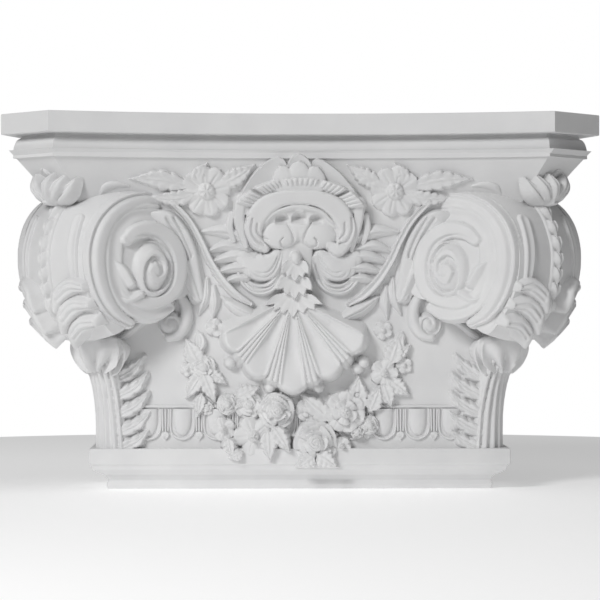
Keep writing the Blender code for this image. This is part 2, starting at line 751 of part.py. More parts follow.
def block(name, low, high):
    corners = []
    for z in (low[2], high[2]):
        for d in (low[1], high[1]):
            corners += [(low[0], d, z), (high[0], d, z)]
    faces = ((0, 1, 3, 2), (4, 6, 7, 5), (0, 4, 5, 1), (2, 3, 7, 6), (0, 2, 6, 4), (1, 5, 7, 3))
    return solid(name, corners, faces)


def shade(mesh):
    for face in mesh.polygons:
        face.use_smooth = True
    mesh.set_sharp_from_angle(angle=SHARP_ANGLE)


def main():
    for thing in list(bpy.data.objects):
        bpy.data.objects.remove(thing)
    capital = make_abacus()
    capital.name = "capital"
    bpy.context.scene.collection.objects.link(capital)
    capital.data.materials.append(plaster())
    relief = Relief()
    for body in (make_bell(), make_foot()):
        body.hide_render = True
        body.display_type = "WIRE"
        relief.collection.objects.link(body)
    add_scroll_blocks(relief)
    add_scroll_faces(relief)
    add_rims(relief)
    add_stems(relief)
    add_corners(relief)
    add_cartouche(relief)
    add_shell(relief)
    add_garland(relief)
    add_eggs(relief)
    join = capital.modifiers.new("join", "BOOLEAN")
    join.operation = "UNION"
    join.solver = "MANIFOLD"
    join.operand_type = "COLLECTION"
    join.collection = relief.collection
    wall = block("wall", (-WIDTH, -DEPTH, -HEIGHT), (WIDTH, 0.0, 2 * HEIGHT))
    wall.hide_render = True
    wall.display_type = "WIRE"
    bpy.context.scene.collection.objects.link(wall)
    cut = capital.modifiers.new("wall cut", "BOOLEAN")
    cut.operation = "DIFFERENCE"
    cut.solver = "MANIFOLD"
    cut.object = wall
    shade(capital.data)


main()
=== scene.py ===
"""Looks of the wall pilaster capital: fine carving laid on the surfaces of its solid.

The numbers are millimetres and the meshes are metres. x runs to the right, d runs out from the
wall and z runs up from the underside, as in the solid's own source. A spot turns a place on a
surface and a height above it into such a point.
"""

import math

import bpy
import numpy as np
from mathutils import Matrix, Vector


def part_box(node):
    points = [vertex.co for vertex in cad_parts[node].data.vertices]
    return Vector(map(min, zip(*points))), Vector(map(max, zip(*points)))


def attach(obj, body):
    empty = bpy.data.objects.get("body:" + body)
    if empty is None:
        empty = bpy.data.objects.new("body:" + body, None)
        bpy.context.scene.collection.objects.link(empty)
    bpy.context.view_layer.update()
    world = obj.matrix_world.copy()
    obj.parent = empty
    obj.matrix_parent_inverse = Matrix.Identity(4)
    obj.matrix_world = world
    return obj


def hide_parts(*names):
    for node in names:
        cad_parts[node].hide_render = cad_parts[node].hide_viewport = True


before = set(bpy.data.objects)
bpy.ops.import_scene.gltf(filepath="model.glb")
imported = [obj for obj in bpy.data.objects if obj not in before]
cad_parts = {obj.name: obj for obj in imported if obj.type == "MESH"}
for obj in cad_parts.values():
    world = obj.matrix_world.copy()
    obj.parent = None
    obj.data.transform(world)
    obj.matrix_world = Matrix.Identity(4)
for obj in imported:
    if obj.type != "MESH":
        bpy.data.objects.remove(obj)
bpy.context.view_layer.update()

LOW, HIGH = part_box("capital")
MM = 0.001
WIDTH = (HIGH.x - LOW.x) / MM
DEPTH = (HIGH.y - LOW.y) / MM
HEIGHT = (HIGH.z - LOW.z) / MM

# Abacus
SLAB_HEIGHT = 21.5
MOULD_HEIGHT = 24.0
SLAB_HOLLOW = 40.0
HORN_FACE = 53.5
MOULD_INSET = 11.0
MOULD_SWELL = 7.0
MOULD_LIP = 4.5
NECK_FILLET = 3.5
ARRIS = 1.2
MOULD_STEPS = 9

# Bell and foot
FOOT_HEIGHT = 43.6
FOOT_MARGIN = 88.0
FOOT_DEPTH = 110.0
LEDGE = 12.0
SIDE_LEDGE = 16.0
BELL_INSET = 14.0
BELL_CORNER = 8.0
FLARE_HEIGHT = 156.0
FLARE_POWER = 1.6
# How far the bell runs on inside the foot and the abacus, and the rounding of the foot's steps
LAP = 8.0
FOOT_EASE = 1.0
# Height on the foot and how far it steps in there
FOOT_PROFILE = (
    (0.0, 18.4), (4.3, 17.0), (9.6, 19.0), (14.9, 15.5), (17.3, 9.6), (21.0, 3.7), (25.5, 3.0), (27.4, 0.0),
)

# Corner scrolls
FACE_SET_IN = 88.0
FACE_SET_BACK = 18.0
FACE_TURN = math.radians(35.7)
RIM_SWELL = 8.5

NECK = HEIGHT - SLAB_HEIGHT - MOULD_HEIGHT
BELL_HALF = WIDTH / 2 - FOOT_MARGIN - SIDE_LEDGE
BELL_DEPTH = FOOT_DEPTH - LEDGE
# The left half's front and side mirror each other in the upright plane where x + d = -SHIFT
SHIFT = WIDTH / 2 - DEPTH
DIAGONAL = math.sqrt(0.5)

# How far a patch's edges go below its surface, and the height of an uncarved place
SINK = 5.0
FLOOR = -3.0

# Fineness of the meshes: faces along the front and a side, up the bell, and along each step of a path
FRONT_STEPS = 60
SIDE_STEPS = 20
BELL_ROWS = 70
STROKE_STEPS = 10
RIBBON_STEPS = 8
RIBBON_ACROSS = 8
# Angles between faces, in degrees, past which an edge is sharp: mouldings, sweeps, small ribs and carving
MOULDED, SWEPT, RIBBED, CARVED = 32.0, 40.0, 60.0, 70.0


def abacus_front(x, inset):
    half = WIDTH / 2 - HORN_FACE
    radius = (half**2 + SLAB_HOLLOW**2) / (2 * SLAB_HOLLOW)
    return DEPTH - SLAB_HOLLOW + radius - np.sqrt(radius**2 - np.square(x)) - inset


def abacus_half(inset):
    """Half of the abacus outline, from the middle of the front round the horn to the wall."""
    limit = WIDTH / 2 + DEPTH - HORN_FACE - inset / DIAGONAL
    low, high = 0.0, WIDTH / 2 - HORN_FACE
    for _ in range(40):
        corner = (low + high) / 2
        if corner + abacus_front(corner, inset) < limit:
            low = corner
        else:
            high = corner
    front_x = np.linspace(0.0, corner, FRONT_STEPS + 1)
    side_x = np.linspace(corner, SHIFT, SIDE_STEPS + 1)
    front = np.stack((front_x, abacus_front(front_x, inset)), -1)
    side = np.stack((SHIFT + abacus_front(side_x, inset), side_x - SHIFT), -1)
    return np.concatenate((front, side))


def bell_low_half():
    start = BELL_DEPTH - BELL_CORNER
    front_x = np.linspace(0.0, BELL_HALF - BELL_CORNER, FRONT_STEPS + 1)
    front = np.stack((front_x, np.full_like(front_x, BELL_DEPTH)), -1)
    side_d = np.linspace(start, 0.0, SIDE_STEPS + 1)
    side = np.stack((np.full_like(side_d, BELL_HALF), side_d), -1)
    return np.concatenate((front, side))


def flare(z):
    return np.clip((z - NECK + FLARE_HEIGHT) / FLARE_HEIGHT, 0.0, None) ** FLARE_POWER


def across_diagonal(points):
    x, d, z = np.moveaxis(points, -1, 0)
    return np.stack((-SHIFT - d, -SHIFT - x, z), -1)


def mirrored(points):
    return points * (-1.0, 1.0, 1.0)


def to_world(points):
    """Metres in the frame. Nothing passes the wall or the solid's own box."""
    x, d, z = np.moveaxis(np.asarray(points, float), -1, 0)
    x = np.clip(x, -WIDTH / 2, WIDTH / 2)
    d = np.clip(d, 0.0, DEPTH)
    z = np.clip(z, 0.0, HEIGHT)
    return np.stack((x * MM, HIGH.y - d * MM, z * MM), -1)


def on_bell(x, z, h):
    return np.stack((x, BELL_DEPTH + flare(z) * (abacus_front(x, BELL_INSET) - BELL_DEPTH) + h, z), -1)


def on_foot(x, z, h):
    """Spot on the bell that also clears the foot below it."""
    return np.stack((x, BELL_DEPTH + h, z), -1)


def on_face(x, z, h):
    """Spot on the left scroll's front face."""
    front = DEPTH - FACE_SET_BACK - (x + WIDTH / 2 - FACE_SET_IN) * math.tan(FACE_TURN)
    return np.stack((x + h * math.sin(FACE_TURN), front + h * math.cos(FACE_TURN), z), -1)


def on_side(u, z, h):
    """Spot on the bell's left side, u out from the wall."""
    return np.stack((-BELL_HALF - h, u, z), -1)


# Radius of the bell's front corners under their leaves
CORNER_ROUND = 14.0


def on_corner(u, z, h):
    """Spot round the bell's left front corner: u is the way round from the diagonal, to the front."""
    turn = CORNER_ROUND * math.pi / 4
    angle = math.pi * 3 / 4 - np.clip(u, -turn, turn) / CORNER_ROUND
    run = np.clip(np.abs(u) - turn, 0.0, None)
    x = -BELL_HALF + CORNER_ROUND + (CORNER_ROUND + h) * np.cos(angle)
    d = BELL_DEPTH - CORNER_ROUND + (CORNER_ROUND + h) * np.sin(angle)
    return np.stack((np.where(u > 0, x + run, x), np.where(u > 0, d, d - run), z), -1)


# The clusters' upright plane crosses the diagonal this far to the left of the scroll face's set-in
CLUSTER_OUT = 32.0


def under_horn(u, z, h):
    """Spot on the upright plane that faces out along the left diagonal, above the scroll."""
    reach = FACE_SET_IN - WIDTH / 2 - CLUSTER_OUT
    return np.stack((reach + (u - h) * DIAGONAL, -SHIFT - reach + (u + h) * DIAGONAL, z), -1)


# Outline of the left scroll's face, as x and z
SCROLL_OUTLINE = (
    (-116, 279), (-128, 298), (-148, 310), (-172, 312), (-193, 304), (-211, 286), (-220, 264), (-223, 244),
    (-221, 220), (-215, 198), (-204, 178), (-192, 165), (-179, 172), (-160, 183), (-141, 198), (-116, 211),
)


def smooth_path(keys, steps, closed=False):
    """Points along a soft curve through the keys, each step cut in so many parts."""
    keys = np.array(keys, float)
    if closed:
        padded = np.concatenate((keys[-1:], keys, keys[:2]))
    else:
        padded = np.concatenate((2 * keys[:1] - keys[1:2], keys, 2 * keys[-1:] - keys[-2:-1]))
    a, b, c, d = (padded[k:len(padded) - 3 + k, None] for k in range(4))
    t = (np.arange(steps) / steps)[None, :, None]
    path = 0.5 * (2 * b + (c - a) * t + (2 * a - 5 * b + 4 * c - d) * t**2 + (3 * b - a - 3 * c + d) * t**3)
    path = path.reshape(-1, keys.shape[1])
    return path if closed else np.concatenate((path, keys[-1:]))


def unit(vectors):
    return vectors / np.maximum(np.linalg.norm(vectors, axis=-1, keepdims=True), 1e-9)


RIM_FINE = 12
RIM_PATH = smooth_path(SCROLL_OUTLINE, RIM_FINE, closed=True)
RIM_AHEAD = np.roll(RIM_PATH, -1, 0) - np.roll(RIM_PATH, 1, 0)
RIM_OUT = unit(np.stack((RIM_AHEAD[:, 1], -RIM_AHEAD[:, 0]), -1))


def on_rim(row, across, h):
    """Spot on the scroll's rim: row runs along the outline, across from its front edge to its side edge."""
    row, across, h = np.broadcast_arrays(row, across, h)
    places = np.arange(len(RIM_PATH)) / RIM_FINE
    x, z, out_x, out_z = (np.interp(row, places, column) for column in (*RIM_PATH.T, *RIM_OUT.T))
    lift = h + RIM_SWELL * np.sin(math.pi * across)
    front = on_face(x, z, np.zeros_like(x))
    share = across[..., None]
    point = front * (1 - share) + across_diagonal(front) * share
    return point + np.stack((out_x * lift * DIAGONAL, -out_x * lift * DIAGONAL, out_z * lift), -1)


# Width that the rim is counted as from front to side, and the keys of the outline between which it faces out
RIM_CHORD = 100.0
RIM_FIRST, RIM_LAST = 4, 11


def on_rim_front(u, z, h):
    """Spot on the rim's outer side by its height: u runs from the front edge round to the side edge."""
    first, last = RIM_FIRST * RIM_FINE, RIM_LAST * RIM_FINE
    falling = RIM_PATH[first:last + 1, 1][::-1]
    rows = (np.arange(first, last + 1) / RIM_FINE)[::-1]
    return on_rim(np.interp(z, falling, rows), u / RIM_CHORD, h)


# Shapes across a stroke, from -1 to 1

def full_round(s):
    return np.sqrt(np.clip(1 - s**2, 0, 1))


def flat_round(s):
    return np.clip(1 - s**6, 0, 1) ** 0.5


def gutter(s):
    """Raised edges with a soft hollow between them."""
    return flat_round(s) * (1 - 0.42 * np.cos(math.pi * s / 2) ** 2)


def rim_band(s):
    """A thin lip at one edge, a hollow beside it and a round shoulder at the other edge."""
    return flat_round(s) * (1 - 0.5 * np.exp(-(((s + 0.55) / 0.25) ** 2)) - 0.2 * np.clip(s, 0, 1) ** 2)


def keel(s):
    return np.clip(1 - np.abs(s) ** 1.3, 0, 1)


# Places of the two folds along a ruffle's stroke, by its half-width
FOLDS = (-0.45, 0.3)


def closing(t, start, run, power):
    """1 up to a start, then falling to 0 on a round curve over a run."""
    return np.sqrt(np.clip(1 - np.clip((t - start) / run, 0, 1) ** power, 0, 1))


def shifted(spine, side, shift=0.0):
    """A spine with its first measure turned to a side and moved."""
    return [(shift + side * key[0], *key[1:]) for key in spine]


def fold_line(spine, rise, share):
    """A line along a stroke, raised by one share of its half-width and as wide as another."""
    return [(u, v + rise * half, share * half) for u, v, half, _ in spine]


# How steeply a carved edge falls, the share of a half-width where it starts, and room for it round a shape
WALL_SLOPE = 2.6
WALL_START = 0.97
WALL_ROOM = 5.0
# Step of the points that a stroke is measured from
PATH_STEP = 0.7
WHOLE = np.s_[:, :]


class Field:
    """Heights over a patch of a surface, raised and grooved stroke by stroke, as a carver works."""

    def __init__(self, low, high, pitch, wall=WALL_SLOPE):
        self.low, self.pitch, self.wall = low, pitch, wall
        self.u, self.v = np.meshgrid(np.arange(low[0], high[0], pitch), np.arange(low[1], high[1], pitch))
        self.h = np.full(self.u.shape, FLOOR)

    def window(self, low_u, high_u, low_v, high_v):
        """The rows and columns that a box of the surface takes up."""
        rows, columns = self.h.shape
        cut = []
        for start, end, low, count in (
            (low_v, high_v, self.low[1], rows), (low_u, high_u, self.low[0], columns),
        ):
            first = min(count, max(0, int((start - low) / self.pitch)))
            last = min(count, int((end - low) / self.pitch) + 2)
            cut.append(slice(first, max(first, last)))
        return tuple(cut)

    def around(self, x, z, reach):
        """The window within reach of a middle, and how far each place in it is from the middle."""
        window = self.window(x - reach, x + reach, z - reach, z + reach)
        return window, self.u[window] - x, self.v[window] - z

    def raise_to(self, window, height, blend):
        """Lifts places to a height where they are lower, with the join softened."""
        old = self.h[window]
        share = np.clip(0.5 + 0.5 * (height - old) / blend, 0, 1)
        self.h[window] = old * (1 - share) + height * share + blend * share * (1 - share)

    def raise_band(self, window, height, off, half, blend):
        """Lifts a band to a height, with walls that fall from its edges."""
        self.raise_to(window, height - self.wall * np.clip(np.abs(off) - WALL_START * half, 0, None), blend)

    def follow(self, spine, reach):
        """Window round a path and, for each place there, the way along, the way off and the path's values."""
        path = smooth_path(spine, STROKE_STEPS if len(spine) > 2 else 2 * STROKE_STEPS)
        run = np.concatenate(((0.0,), np.cumsum(np.linalg.norm(np.diff(path[:, :2], axis=0), axis=1))))
        even = np.linspace(0.0, run[-1], max(8, int(run[-1] / PATH_STEP)))
        path = np.stack([np.interp(even, run, column) for column in path.T], -1)
        window = self.window(path[:, 0].min() - reach, path[:, 0].max() + reach,
                             path[:, 1].min() - reach, path[:, 1].max() + reach)
        u, v = self.u[window], self.v[window]
        gap = u.ravel()[:, None] - path[None, :, 0], v.ravel()[:, None] - path[None, :, 1]
        nearest = (gap[0] ** 2 + gap[1] ** 2).argmin(1)
        heading = unit(np.gradient(path[:, :2], axis=0))[nearest]
        du, dv = u.ravel() - path[nearest, 0], v.ravel() - path[nearest, 1]
        ahead = du * heading[:, 0] + dv * heading[:, 1]
        side = dv * heading[:, 0] - du * heading[:, 1]
        way = np.clip(even[nearest] + ahead, 0.0, run[-1])
        past = np.abs(even[nearest] + ahead - way)
        values = [np.interp(way, even, column).reshape(u.shape) for column in path.T[2:]]
        off = np.hypot(side, past) * np.where(side < 0, -1.0, 1.0)
        return window, (way / run[-1]).reshape(u.shape), off.reshape(u.shape), values

    def stroke(self, spine, crown, section=full_round, blend=1.0):
        """A raised band along (u, v, half-width, lift), rounded at its ends."""
        widest = max(key[2] for key in spine)
        window, _, off, (half, lift) = self.follow(spine, widest + WALL_ROOM + 1)
        half = np.maximum(half, 0.3)
        height = lift + crown * np.sqrt(half / widest) * section(np.clip(off / half, -1, 1))
        self.raise_band(window, height, off, half, blend)

    def groove(self, spine, depth):
        """A channel sunk along (u, v, half-width)."""
        widest = max(key[2] for key in spine)
        window, _, off, (half,) = self.follow(spine, 3 * widest)
        raised = self.h[window] > FLOOR + 1
        self.h[window] -= depth * np.exp(-((off / np.maximum(half, 0.2)) ** 2)) * raised

    def pleat(self, spine, depth):
        """A fold's edge along (u, v, reach): the surface drops on the right of it and comes back up."""
        widest = max(key[2] for key in spine)
        window, t, off, (reach,) = self.follow(spine, 3 * widest)
        drop = 1 / (1 + np.exp(np.clip(off / 0.3, -30, 30)))
        ends = np.clip(6 * t, 0, 1) * np.clip(6 * (1 - t), 0, 1)
        self.h[window] -= depth * ends * drop * np.exp(-np.abs(off) / np.maximum(reach, 0.3))

    def leaf(self, spine, crown, lobes, notch=0.22, veins=1.0):
        """A pointed leaf along (u, v, half-width, lift), with a midrib, veins and a lobed edge."""
        widest = max(key[2] for key in spine)
        window, t, off, (wide, lift) = self.follow(spine, widest + WALL_ROOM + 1)
        slip = np.clip(t - 0.16 * np.abs(off) / widest, 0, 1)
        edge = np.abs(np.sin(math.pi * lobes * slip)) ** 0.7
        outline = np.clip(1 - t**4, 0, 1) ** 0.8 * np.clip(t / 0.1, 0.1, 1) ** 0.5
        half = np.maximum(wide * outline * (1 - notch * (1 - edge)), 0.4)
        s = np.clip(off / half, -1, 1)
        rib = 0.20 * np.exp(-((s / 0.14) ** 2))
        vein = 0.07 * veins * np.cos(2 * math.pi * lobes * (slip - 0.05)) * np.abs(s) ** 0.6
        body = 0.55 + 0.36 * np.abs(s) ** 1.5 - 0.3 * np.abs(s) ** 8
        swell = 0.55 + 0.45 * np.sin(math.pi * np.clip(0.1 + 0.8 * t, 0, 1))
        self.raise_band(window, lift + crown * (body + rib - vein) * swell, off, half, 0.8)

    def petal(self, x, z, radius, angle, wide, low, cup, curl, tilt):
        """A petal from a flower's middle outwards: cup lifts its tip, curl its sides and tilt one side."""
        window, du, dv = self.around(x, z, radius + WALL_ROOM)
        out = du * math.cos(angle) + dv * math.sin(angle)
        side = dv * math.cos(angle) - du * math.sin(angle)
        t = np.clip(out / radius, 0, 1)
        half = radius * wide * t**0.7 * closing(t, 0.55, 0.45, 2.6) + 0.2
        s = np.clip(side / half, -1, 1)
        past_end = np.clip(out - radius, 0, None) + np.clip(-out, 0, None)
        over = np.hypot(np.clip(np.abs(side) - half, 0, None), past_end)
        lip = np.clip(t - 0.86, 0, 1) / 0.14
        crease = 0.05 * radius * np.exp(-((s / 0.16) ** 2)) * np.sin(math.pi * t)
        height = low + cup * (t**1.8 - 0.35 * lip**2) + curl * s**2 * t + tilt * s * t - crease
        self.raise_to(window, height - self.wall * over, 0.4)

    def dome(self, x, z, radius, low, crown, stretch=1.0, beads=0, blend=0.8):
        """A round knob, taller or lower by stretch, with beads pressed in it if asked."""
        window, du, dv = self.around(x, z, radius * max(1.0, stretch) + WALL_ROOM)
        dv = dv / stretch
        off = np.hypot(du, dv)
        r = np.clip(off / radius, 0, 1)
        height = low + crown * np.sqrt(1 - r**2)
        if beads:
            height = height + 0.2 * crown * np.cos(beads * np.arctan2(dv, du)) * np.sin(math.pi * r)
        self.raise_to(window, height - self.wall * np.clip(off - radius, 0, None), blend)

    def blossom(self, x, z, radius, stand, kind, spin):
        """A flower head of the given kind, its petals laid from the outside in."""
        base, low, crown = CALYX
        self.dome(x, z, base * radius, low * stand, crown * stand)
        for share, count, wide, low, cup, curl, tilt in BLOSSOMS[kind]:
            shape = (stand * low, cup * radius, curl * radius, tilt * radius)
            for k in range(count):
                angle = spin + 2 * math.pi * (k + 0.5 * (share < 1)) / count
                self.petal(x, z, radius * share, angle, wide, *shape)
        middle, low, crown, beads = HEARTS[kind]
        self.dome(x, z, radius * middle, stand * low, max(1.5, stand * crown), beads=beads, blend=0.3)
        if kind in WRAPPED:
            self.whorl(x, z, radius * middle, stand * low, stand * crown, spin)

    def whorl(self, x, z, radius, low, crown, spin):
        """Petals wrapped round a middle, their edges along a few spiral arms."""
        window, du, dv = self.around(x, z, radius)
        turn = np.arctan2(dv, du) + spin
        r = np.hypot(du, dv) / radius
        wave = 0.06 * np.cos(WHORL_ARMS * turn + 2 * spin)
        place = np.mod(WHORL * (r + wave) + WHORL_ARMS * turn / (2 * math.pi), 1.0)
        lip = WHORL_LIP * radius * (1 - place) ** 1.4 * np.clip(4 * r, 0, 1)
        height = low + crown * np.sqrt(np.clip(1 - r**2, 0, 1)) + lip - WHORL_LIP * radius * 0.4
        self.h[window] = np.where(r < 1, np.maximum(self.h[window] - 3.0, height), self.h[window])


# Dome under a flower's petals: share of the radius, lift and crown by its stand
CALYX = (0.8, 0.3, 0.15)
# Rings of petals: share of the radius, count, half-width, lift, cup, curl and tilt
BLOSSOMS = {
    "daisy": ((1.0, 8, 0.42, 0.5, 0.06, -0.12, 0.04),),
    "open": ((1.0, 5, 0.52, 0.5, 0.06, -0.24, 0.06),),
    "peony": ((1.0, 7, 0.5, 0.5, 0.1, -0.16, 0.05), (0.62, 5, 0.52, 0.7, 0.1, -0.14, 0.06)),
    "rose": (
        (1.0, 5, 0.75, 0.42, 0.16, -0.1, 0.14), (0.78, 4, 0.8, 0.58, 0.14, -0.12, 0.16),
        (0.54, 3, 0.9, 0.74, 0.12, -0.12, 0.16),
    ),
    "bud": ((1.0, 3, 0.85, 0.5, 0.14, -0.1, 0.12), (0.66, 3, 0.9, 0.66, 0.12, -0.1, 0.12)),
}
# Middles: share of the radius, lift, crown and beads
HEARTS = {
    "daisy": (0.32, 0.6, 0.35, 6), "open": (0.26, 0.62, 0.3, 6), "rose": (0.34, 0.84, 0.16, 0),
    "peony": (0.24, 0.85, 0.2, 6), "bud": (0.4, 0.74, 0.2, 0),
}
# Flowers with petals wrapped round a middle: the spiral arms of the edges, how close and how tall they are
WRAPPED = ("rose", "bud")
WHORL_ARMS = 2
WHORL = 2.3
WHORL_LIP = 0.2
# Steps along a husk and faces across it, and how far above FLOOR a place counts as carved
HUSK_STEPS = 6
HUSK_ACROSS = 10
RAISED = 0.4


def sheet_faces(rows, columns):
    """Faces of a sheet of points in rows and columns."""
    index = np.arange(rows * columns).reshape(rows, columns)
    corners = (index[:-1, :-1], index[:-1, 1:], index[1:, 1:], index[1:, :-1])
    return np.stack(corners, -1).reshape(-1, 4)


def facing_out(points, faces, outward):
    """The faces of a patch, turned to face out once to_world has mirrored d into the world's y."""
    a, b, c = (points[faces[:, k]] for k in (0, 1, 3))
    return faces[:, ::-1] if np.cross(b - a, c - a).sum(0) @ outward > 0 else faces


class Carving:
    """One piece of the visible capital, gathered from patches laid on its surfaces."""

    def __init__(self, name, sharp=CARVED):
        self.name, self.sharp = name, sharp
        self.points, self.faces, self.count = [], [], 0

    def add(self, points, faces, mirror=False, diagonal=False):
        """Faces, with copies across the corner's diagonal and the capital's middle if asked."""
        shapes = [(points, faces)]
        if diagonal:
            shapes += [(across_diagonal(p), f[:, ::-1]) for p, f in shapes]
        if mirror:
            shapes += [(mirrored(p), f[:, ::-1]) for p, f in shapes]
        for shape_points, shape_faces in shapes:
            self.points.append(to_world(shape_points))
            self.faces.append(shape_faces + self.count)
            self.count += len(shape_points)

    def grid(self, points, flip=False, **copies):
        """A sheet of points in rows and columns."""
        faces = sheet_faces(*points.shape[:2])
        self.add(points.reshape(-1, 3), faces[:, ::-1] if flip else faces, **copies)

    def lay(self, spot, u, v, h, sink=SINK, **copies):
        """A patch of heights on a surface, with its edges dropped below the surface."""
        u, v, h = (np.pad(np.broadcast_to(a, h.shape), 1, mode="edge") for a in (u, v, h))
        for edge in (np.s_[0], np.s_[-1], np.s_[:, 0], np.s_[:, -1]):
            h[edge] = -sink
        surface = spot(u, v, h)
        outward = (spot(u, v, h + 1.0) - surface).mean((0, 1))
        points = surface.reshape(-1, 3)
        self.add(points, facing_out(points, sheet_faces(*h.shape), outward), **copies)

    def carve(self, spot, field, **copies):
        """The raised part of a field as faces on a surface, its border sunk into it."""
        field.h[[0, -1]] = FLOOR
        field.h[:, [0, -1]] = FLOOR
        surface = spot(field.u, field.v, field.h)
        outward = (spot(field.u, field.v, field.h + 1.0) - surface).mean((0, 1))
        faces = sheet_faces(*field.h.shape)
        faces = faces[(field.h.reshape(-1)[faces] > FLOOR + RAISED).any(1)]
        used, faces = np.unique(faces, return_inverse=True)
        points, faces = surface.reshape(-1, 3)[used], faces.reshape(-1, 4)
        self.add(points, facing_out(points, faces, outward), **copies)

    def ribbon(self, spot, spine, crown, **copies):
        """A round band along a spine of (u, v, half-width), square at its ends."""
        path = smooth_path(spine, RIBBON_STEPS)
        width = path[:, 2:3]
        heading = unit(np.gradient(path[:, :2], axis=0))
        s = np.sin(np.linspace(-math.pi / 2, math.pi / 2, RIBBON_ACROSS + 1))[None]
        reach = width * s
        u = path[:, 0:1] - heading[:, 1:2] * reach
        v = path[:, 1:2] + heading[:, 0:1] * reach
        self.lay(spot, u, v, crown * np.sqrt(width / width.max()) * full_round(s), **copies)

    def husk(self, spot, spine, crown, **copies):
        """A pointed husk along a spine of (u, v, half-width, lift), with a midrib and veins."""
        path = smooth_path(spine, HUSK_STEPS)
        t = np.linspace(0.0, 1.0, len(path))[:, None]
        s = np.linspace(-1.0, 1.0, HUSK_ACROSS + 1)[None]
        heading = unit(np.gradient(path[:, :2], axis=0))
        reach = path[:, 2:3] * np.clip(1 - t**5, 0, 1) ** 0.7 * np.clip(t / 0.12, 0, 1) ** 0.5 * s
        slant = np.abs(s) * path[:, 2:3] * 0.5
        u = path[:, 0:1] - heading[:, 1:2] * reach + heading[:, 0:1] * slant * (1 - t)
        v = path[:, 1:2] + heading[:, 0:1] * reach + heading[:, 1:2] * slant * (1 - t)
        rib = 0.18 * np.exp(-((s / 0.13) ** 2))
        vein = 0.1 * np.cos(2 * math.pi * (t - 0.18 * np.abs(s))) * np.abs(s) ** 0.5
        body = 0.62 + 0.28 * np.abs(s) - 0.35 * s**6
        swell = 0.35 + 0.65 * np.sin(math.pi * np.clip(t, 0, 0.9) ** 0.7)
        self.lay(spot, u, v, path[:, 3:4] + crown * (body + rib - vein) * swell, **copies)

    def finish(self, material):
        """The gathered patches as one smooth object that stands for the solid."""
        mesh = bpy.data.meshes.new(self.name)
        mesh.from_pydata(np.concatenate(self.points).tolist(), [], np.concatenate(self.faces).tolist())
        mesh.validate()
        for face in mesh.polygons:
            face.use_smooth = True
        mesh.set_sharp_from_angle(angle=math.radians(self.sharp))
        mesh.materials.append(material)
        piece = bpy.data.objects.new(self.name, mesh)
        bpy.context.scene.collection.objects.link(piece)
        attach(piece, "root")
        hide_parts("capital")


def carve_piece(name, spot, field, material, mirror=True):
    """A piece that is one field laid on one surface."""
    work = Carving(name)
    work.carve(spot, field, mirror=mirror)
    work.finish(material)


def eased(profile, radius):
    """A profile with each inner corner rounded."""
    points = [profile[0]]
    for before, here, after in zip(profile, profile[1:], profile[2:]):
        before, here, after = (np.array(p, float) for p in (before, here, after))
        back = min(radius, 0.4 * np.linalg.norm(before - here))
        ahead = min(radius, 0.4 * np.linalg.norm(after - here))
        start = here + unit(before - here) * back
        end = here + unit(after - here) * ahead
        for t in (0.0, 0.33, 0.67, 1.0):
            points.append(tuple(start * (1 - t) ** 2 + here * 2 * t * (1 - t) + end * t**2))
    points.append(profile[-1])
    return points


# A lid's faces run to the wall this far inside its ends, so that they stay within its hollow sides
LID_INSET = 100.0


def ring(half, z):
    """A full outline at one height from its right half, open at the wall."""
    whole = np.concatenate((half[:0:-1] * (-1.0, 1.0), half))
    return np.concatenate((whole, np.full((len(whole), 1), z)), -1)


def backed(carving, rings):
    """A flat back at the wall between the ends of stacked rings."""
    carving.grid(np.stack((rings[:, 0], rings[:, -1])), flip=True)


def capped(carving, rings):
    """Rings stacked upwards, closed at the wall and by a flat top and underside."""
    rings = np.array(rings)
    carving.grid(rings)
    for row, flip in ((rings[0], False), (rings[-1], True)):
        span = abs(row[0, 0]) - LID_INSET
        at_wall = np.stack((np.clip(row[:, 0], -span, span), 0 * row[:, 1], row[:, 2]), -1)
        carving.grid(np.stack((row, at_wall)), flip=flip)
    backed(carving, rings)


def make_abacus(material):
    low = NECK + MOULD_LIP
    top = NECK + MOULD_HEIGHT - NECK_FILLET
    swell = MOULD_INSET + MOULD_SWELL
    profile = [(NECK, MOULD_INSET)]
    for angle in np.linspace(0.0, math.pi / 2, MOULD_STEPS):
        inset = MOULD_INSET + MOULD_SWELL * (1 - math.cos(angle))
        profile.append((low + (top - low) * math.sin(angle), inset))
    profile += [(NECK + MOULD_HEIGHT, swell + ARRIS), (NECK + MOULD_HEIGHT, 0.0)]
    profile += [(HEIGHT, 0.0), (HEIGHT, 3 * ARRIS)]
    abacus = Carving("abacus", MOULDED)
    capped(abacus, [ring(abacus_half(inset), z) for z, inset in eased(profile, ARRIS)])
    abacus.finish(material)


def make_bell(material):
    low, high = bell_low_half(), abacus_half(BELL_INSET)
    rings = []
    for z in (FOOT_HEIGHT - LAP, *np.linspace(FOOT_HEIGHT, NECK, BELL_ROWS), NECK + LAP):
        share = flare(z)
        rings.append(ring(low * (1 - share) + high * share, z))
    bell = Carving("bell", SWEPT)
    bell.grid(np.array(rings))
    backed(bell, np.array(rings[1:-1]))
    bell.finish(material)


def make_foot(material):
    half = WIDTH / 2 - FOOT_MARGIN
    profile = [*FOOT_PROFILE, (FOOT_HEIGHT, 0.0), (FOOT_HEIGHT, 3 * LEDGE)]
    rings = []
    for z, inset in eased(profile, FOOT_EASE):
        edge = FOOT_DEPTH - inset
        plan = eased([(0.0, edge), (half - inset, edge), (half - inset, 0.0)], ARRIS)
        rings.append(ring(np.array(plan), z))
    foot = Carving("foot", MOULDED)
    capped(foot, rings)
    foot.finish(material)


# Middle of the left scroll's face, and the faces across its rim and from its edge to its middle
SCROLL_MIDDLE = (-172.0, 238.0)
RIM_ACROSS = 24
FACE_RINGS = 7


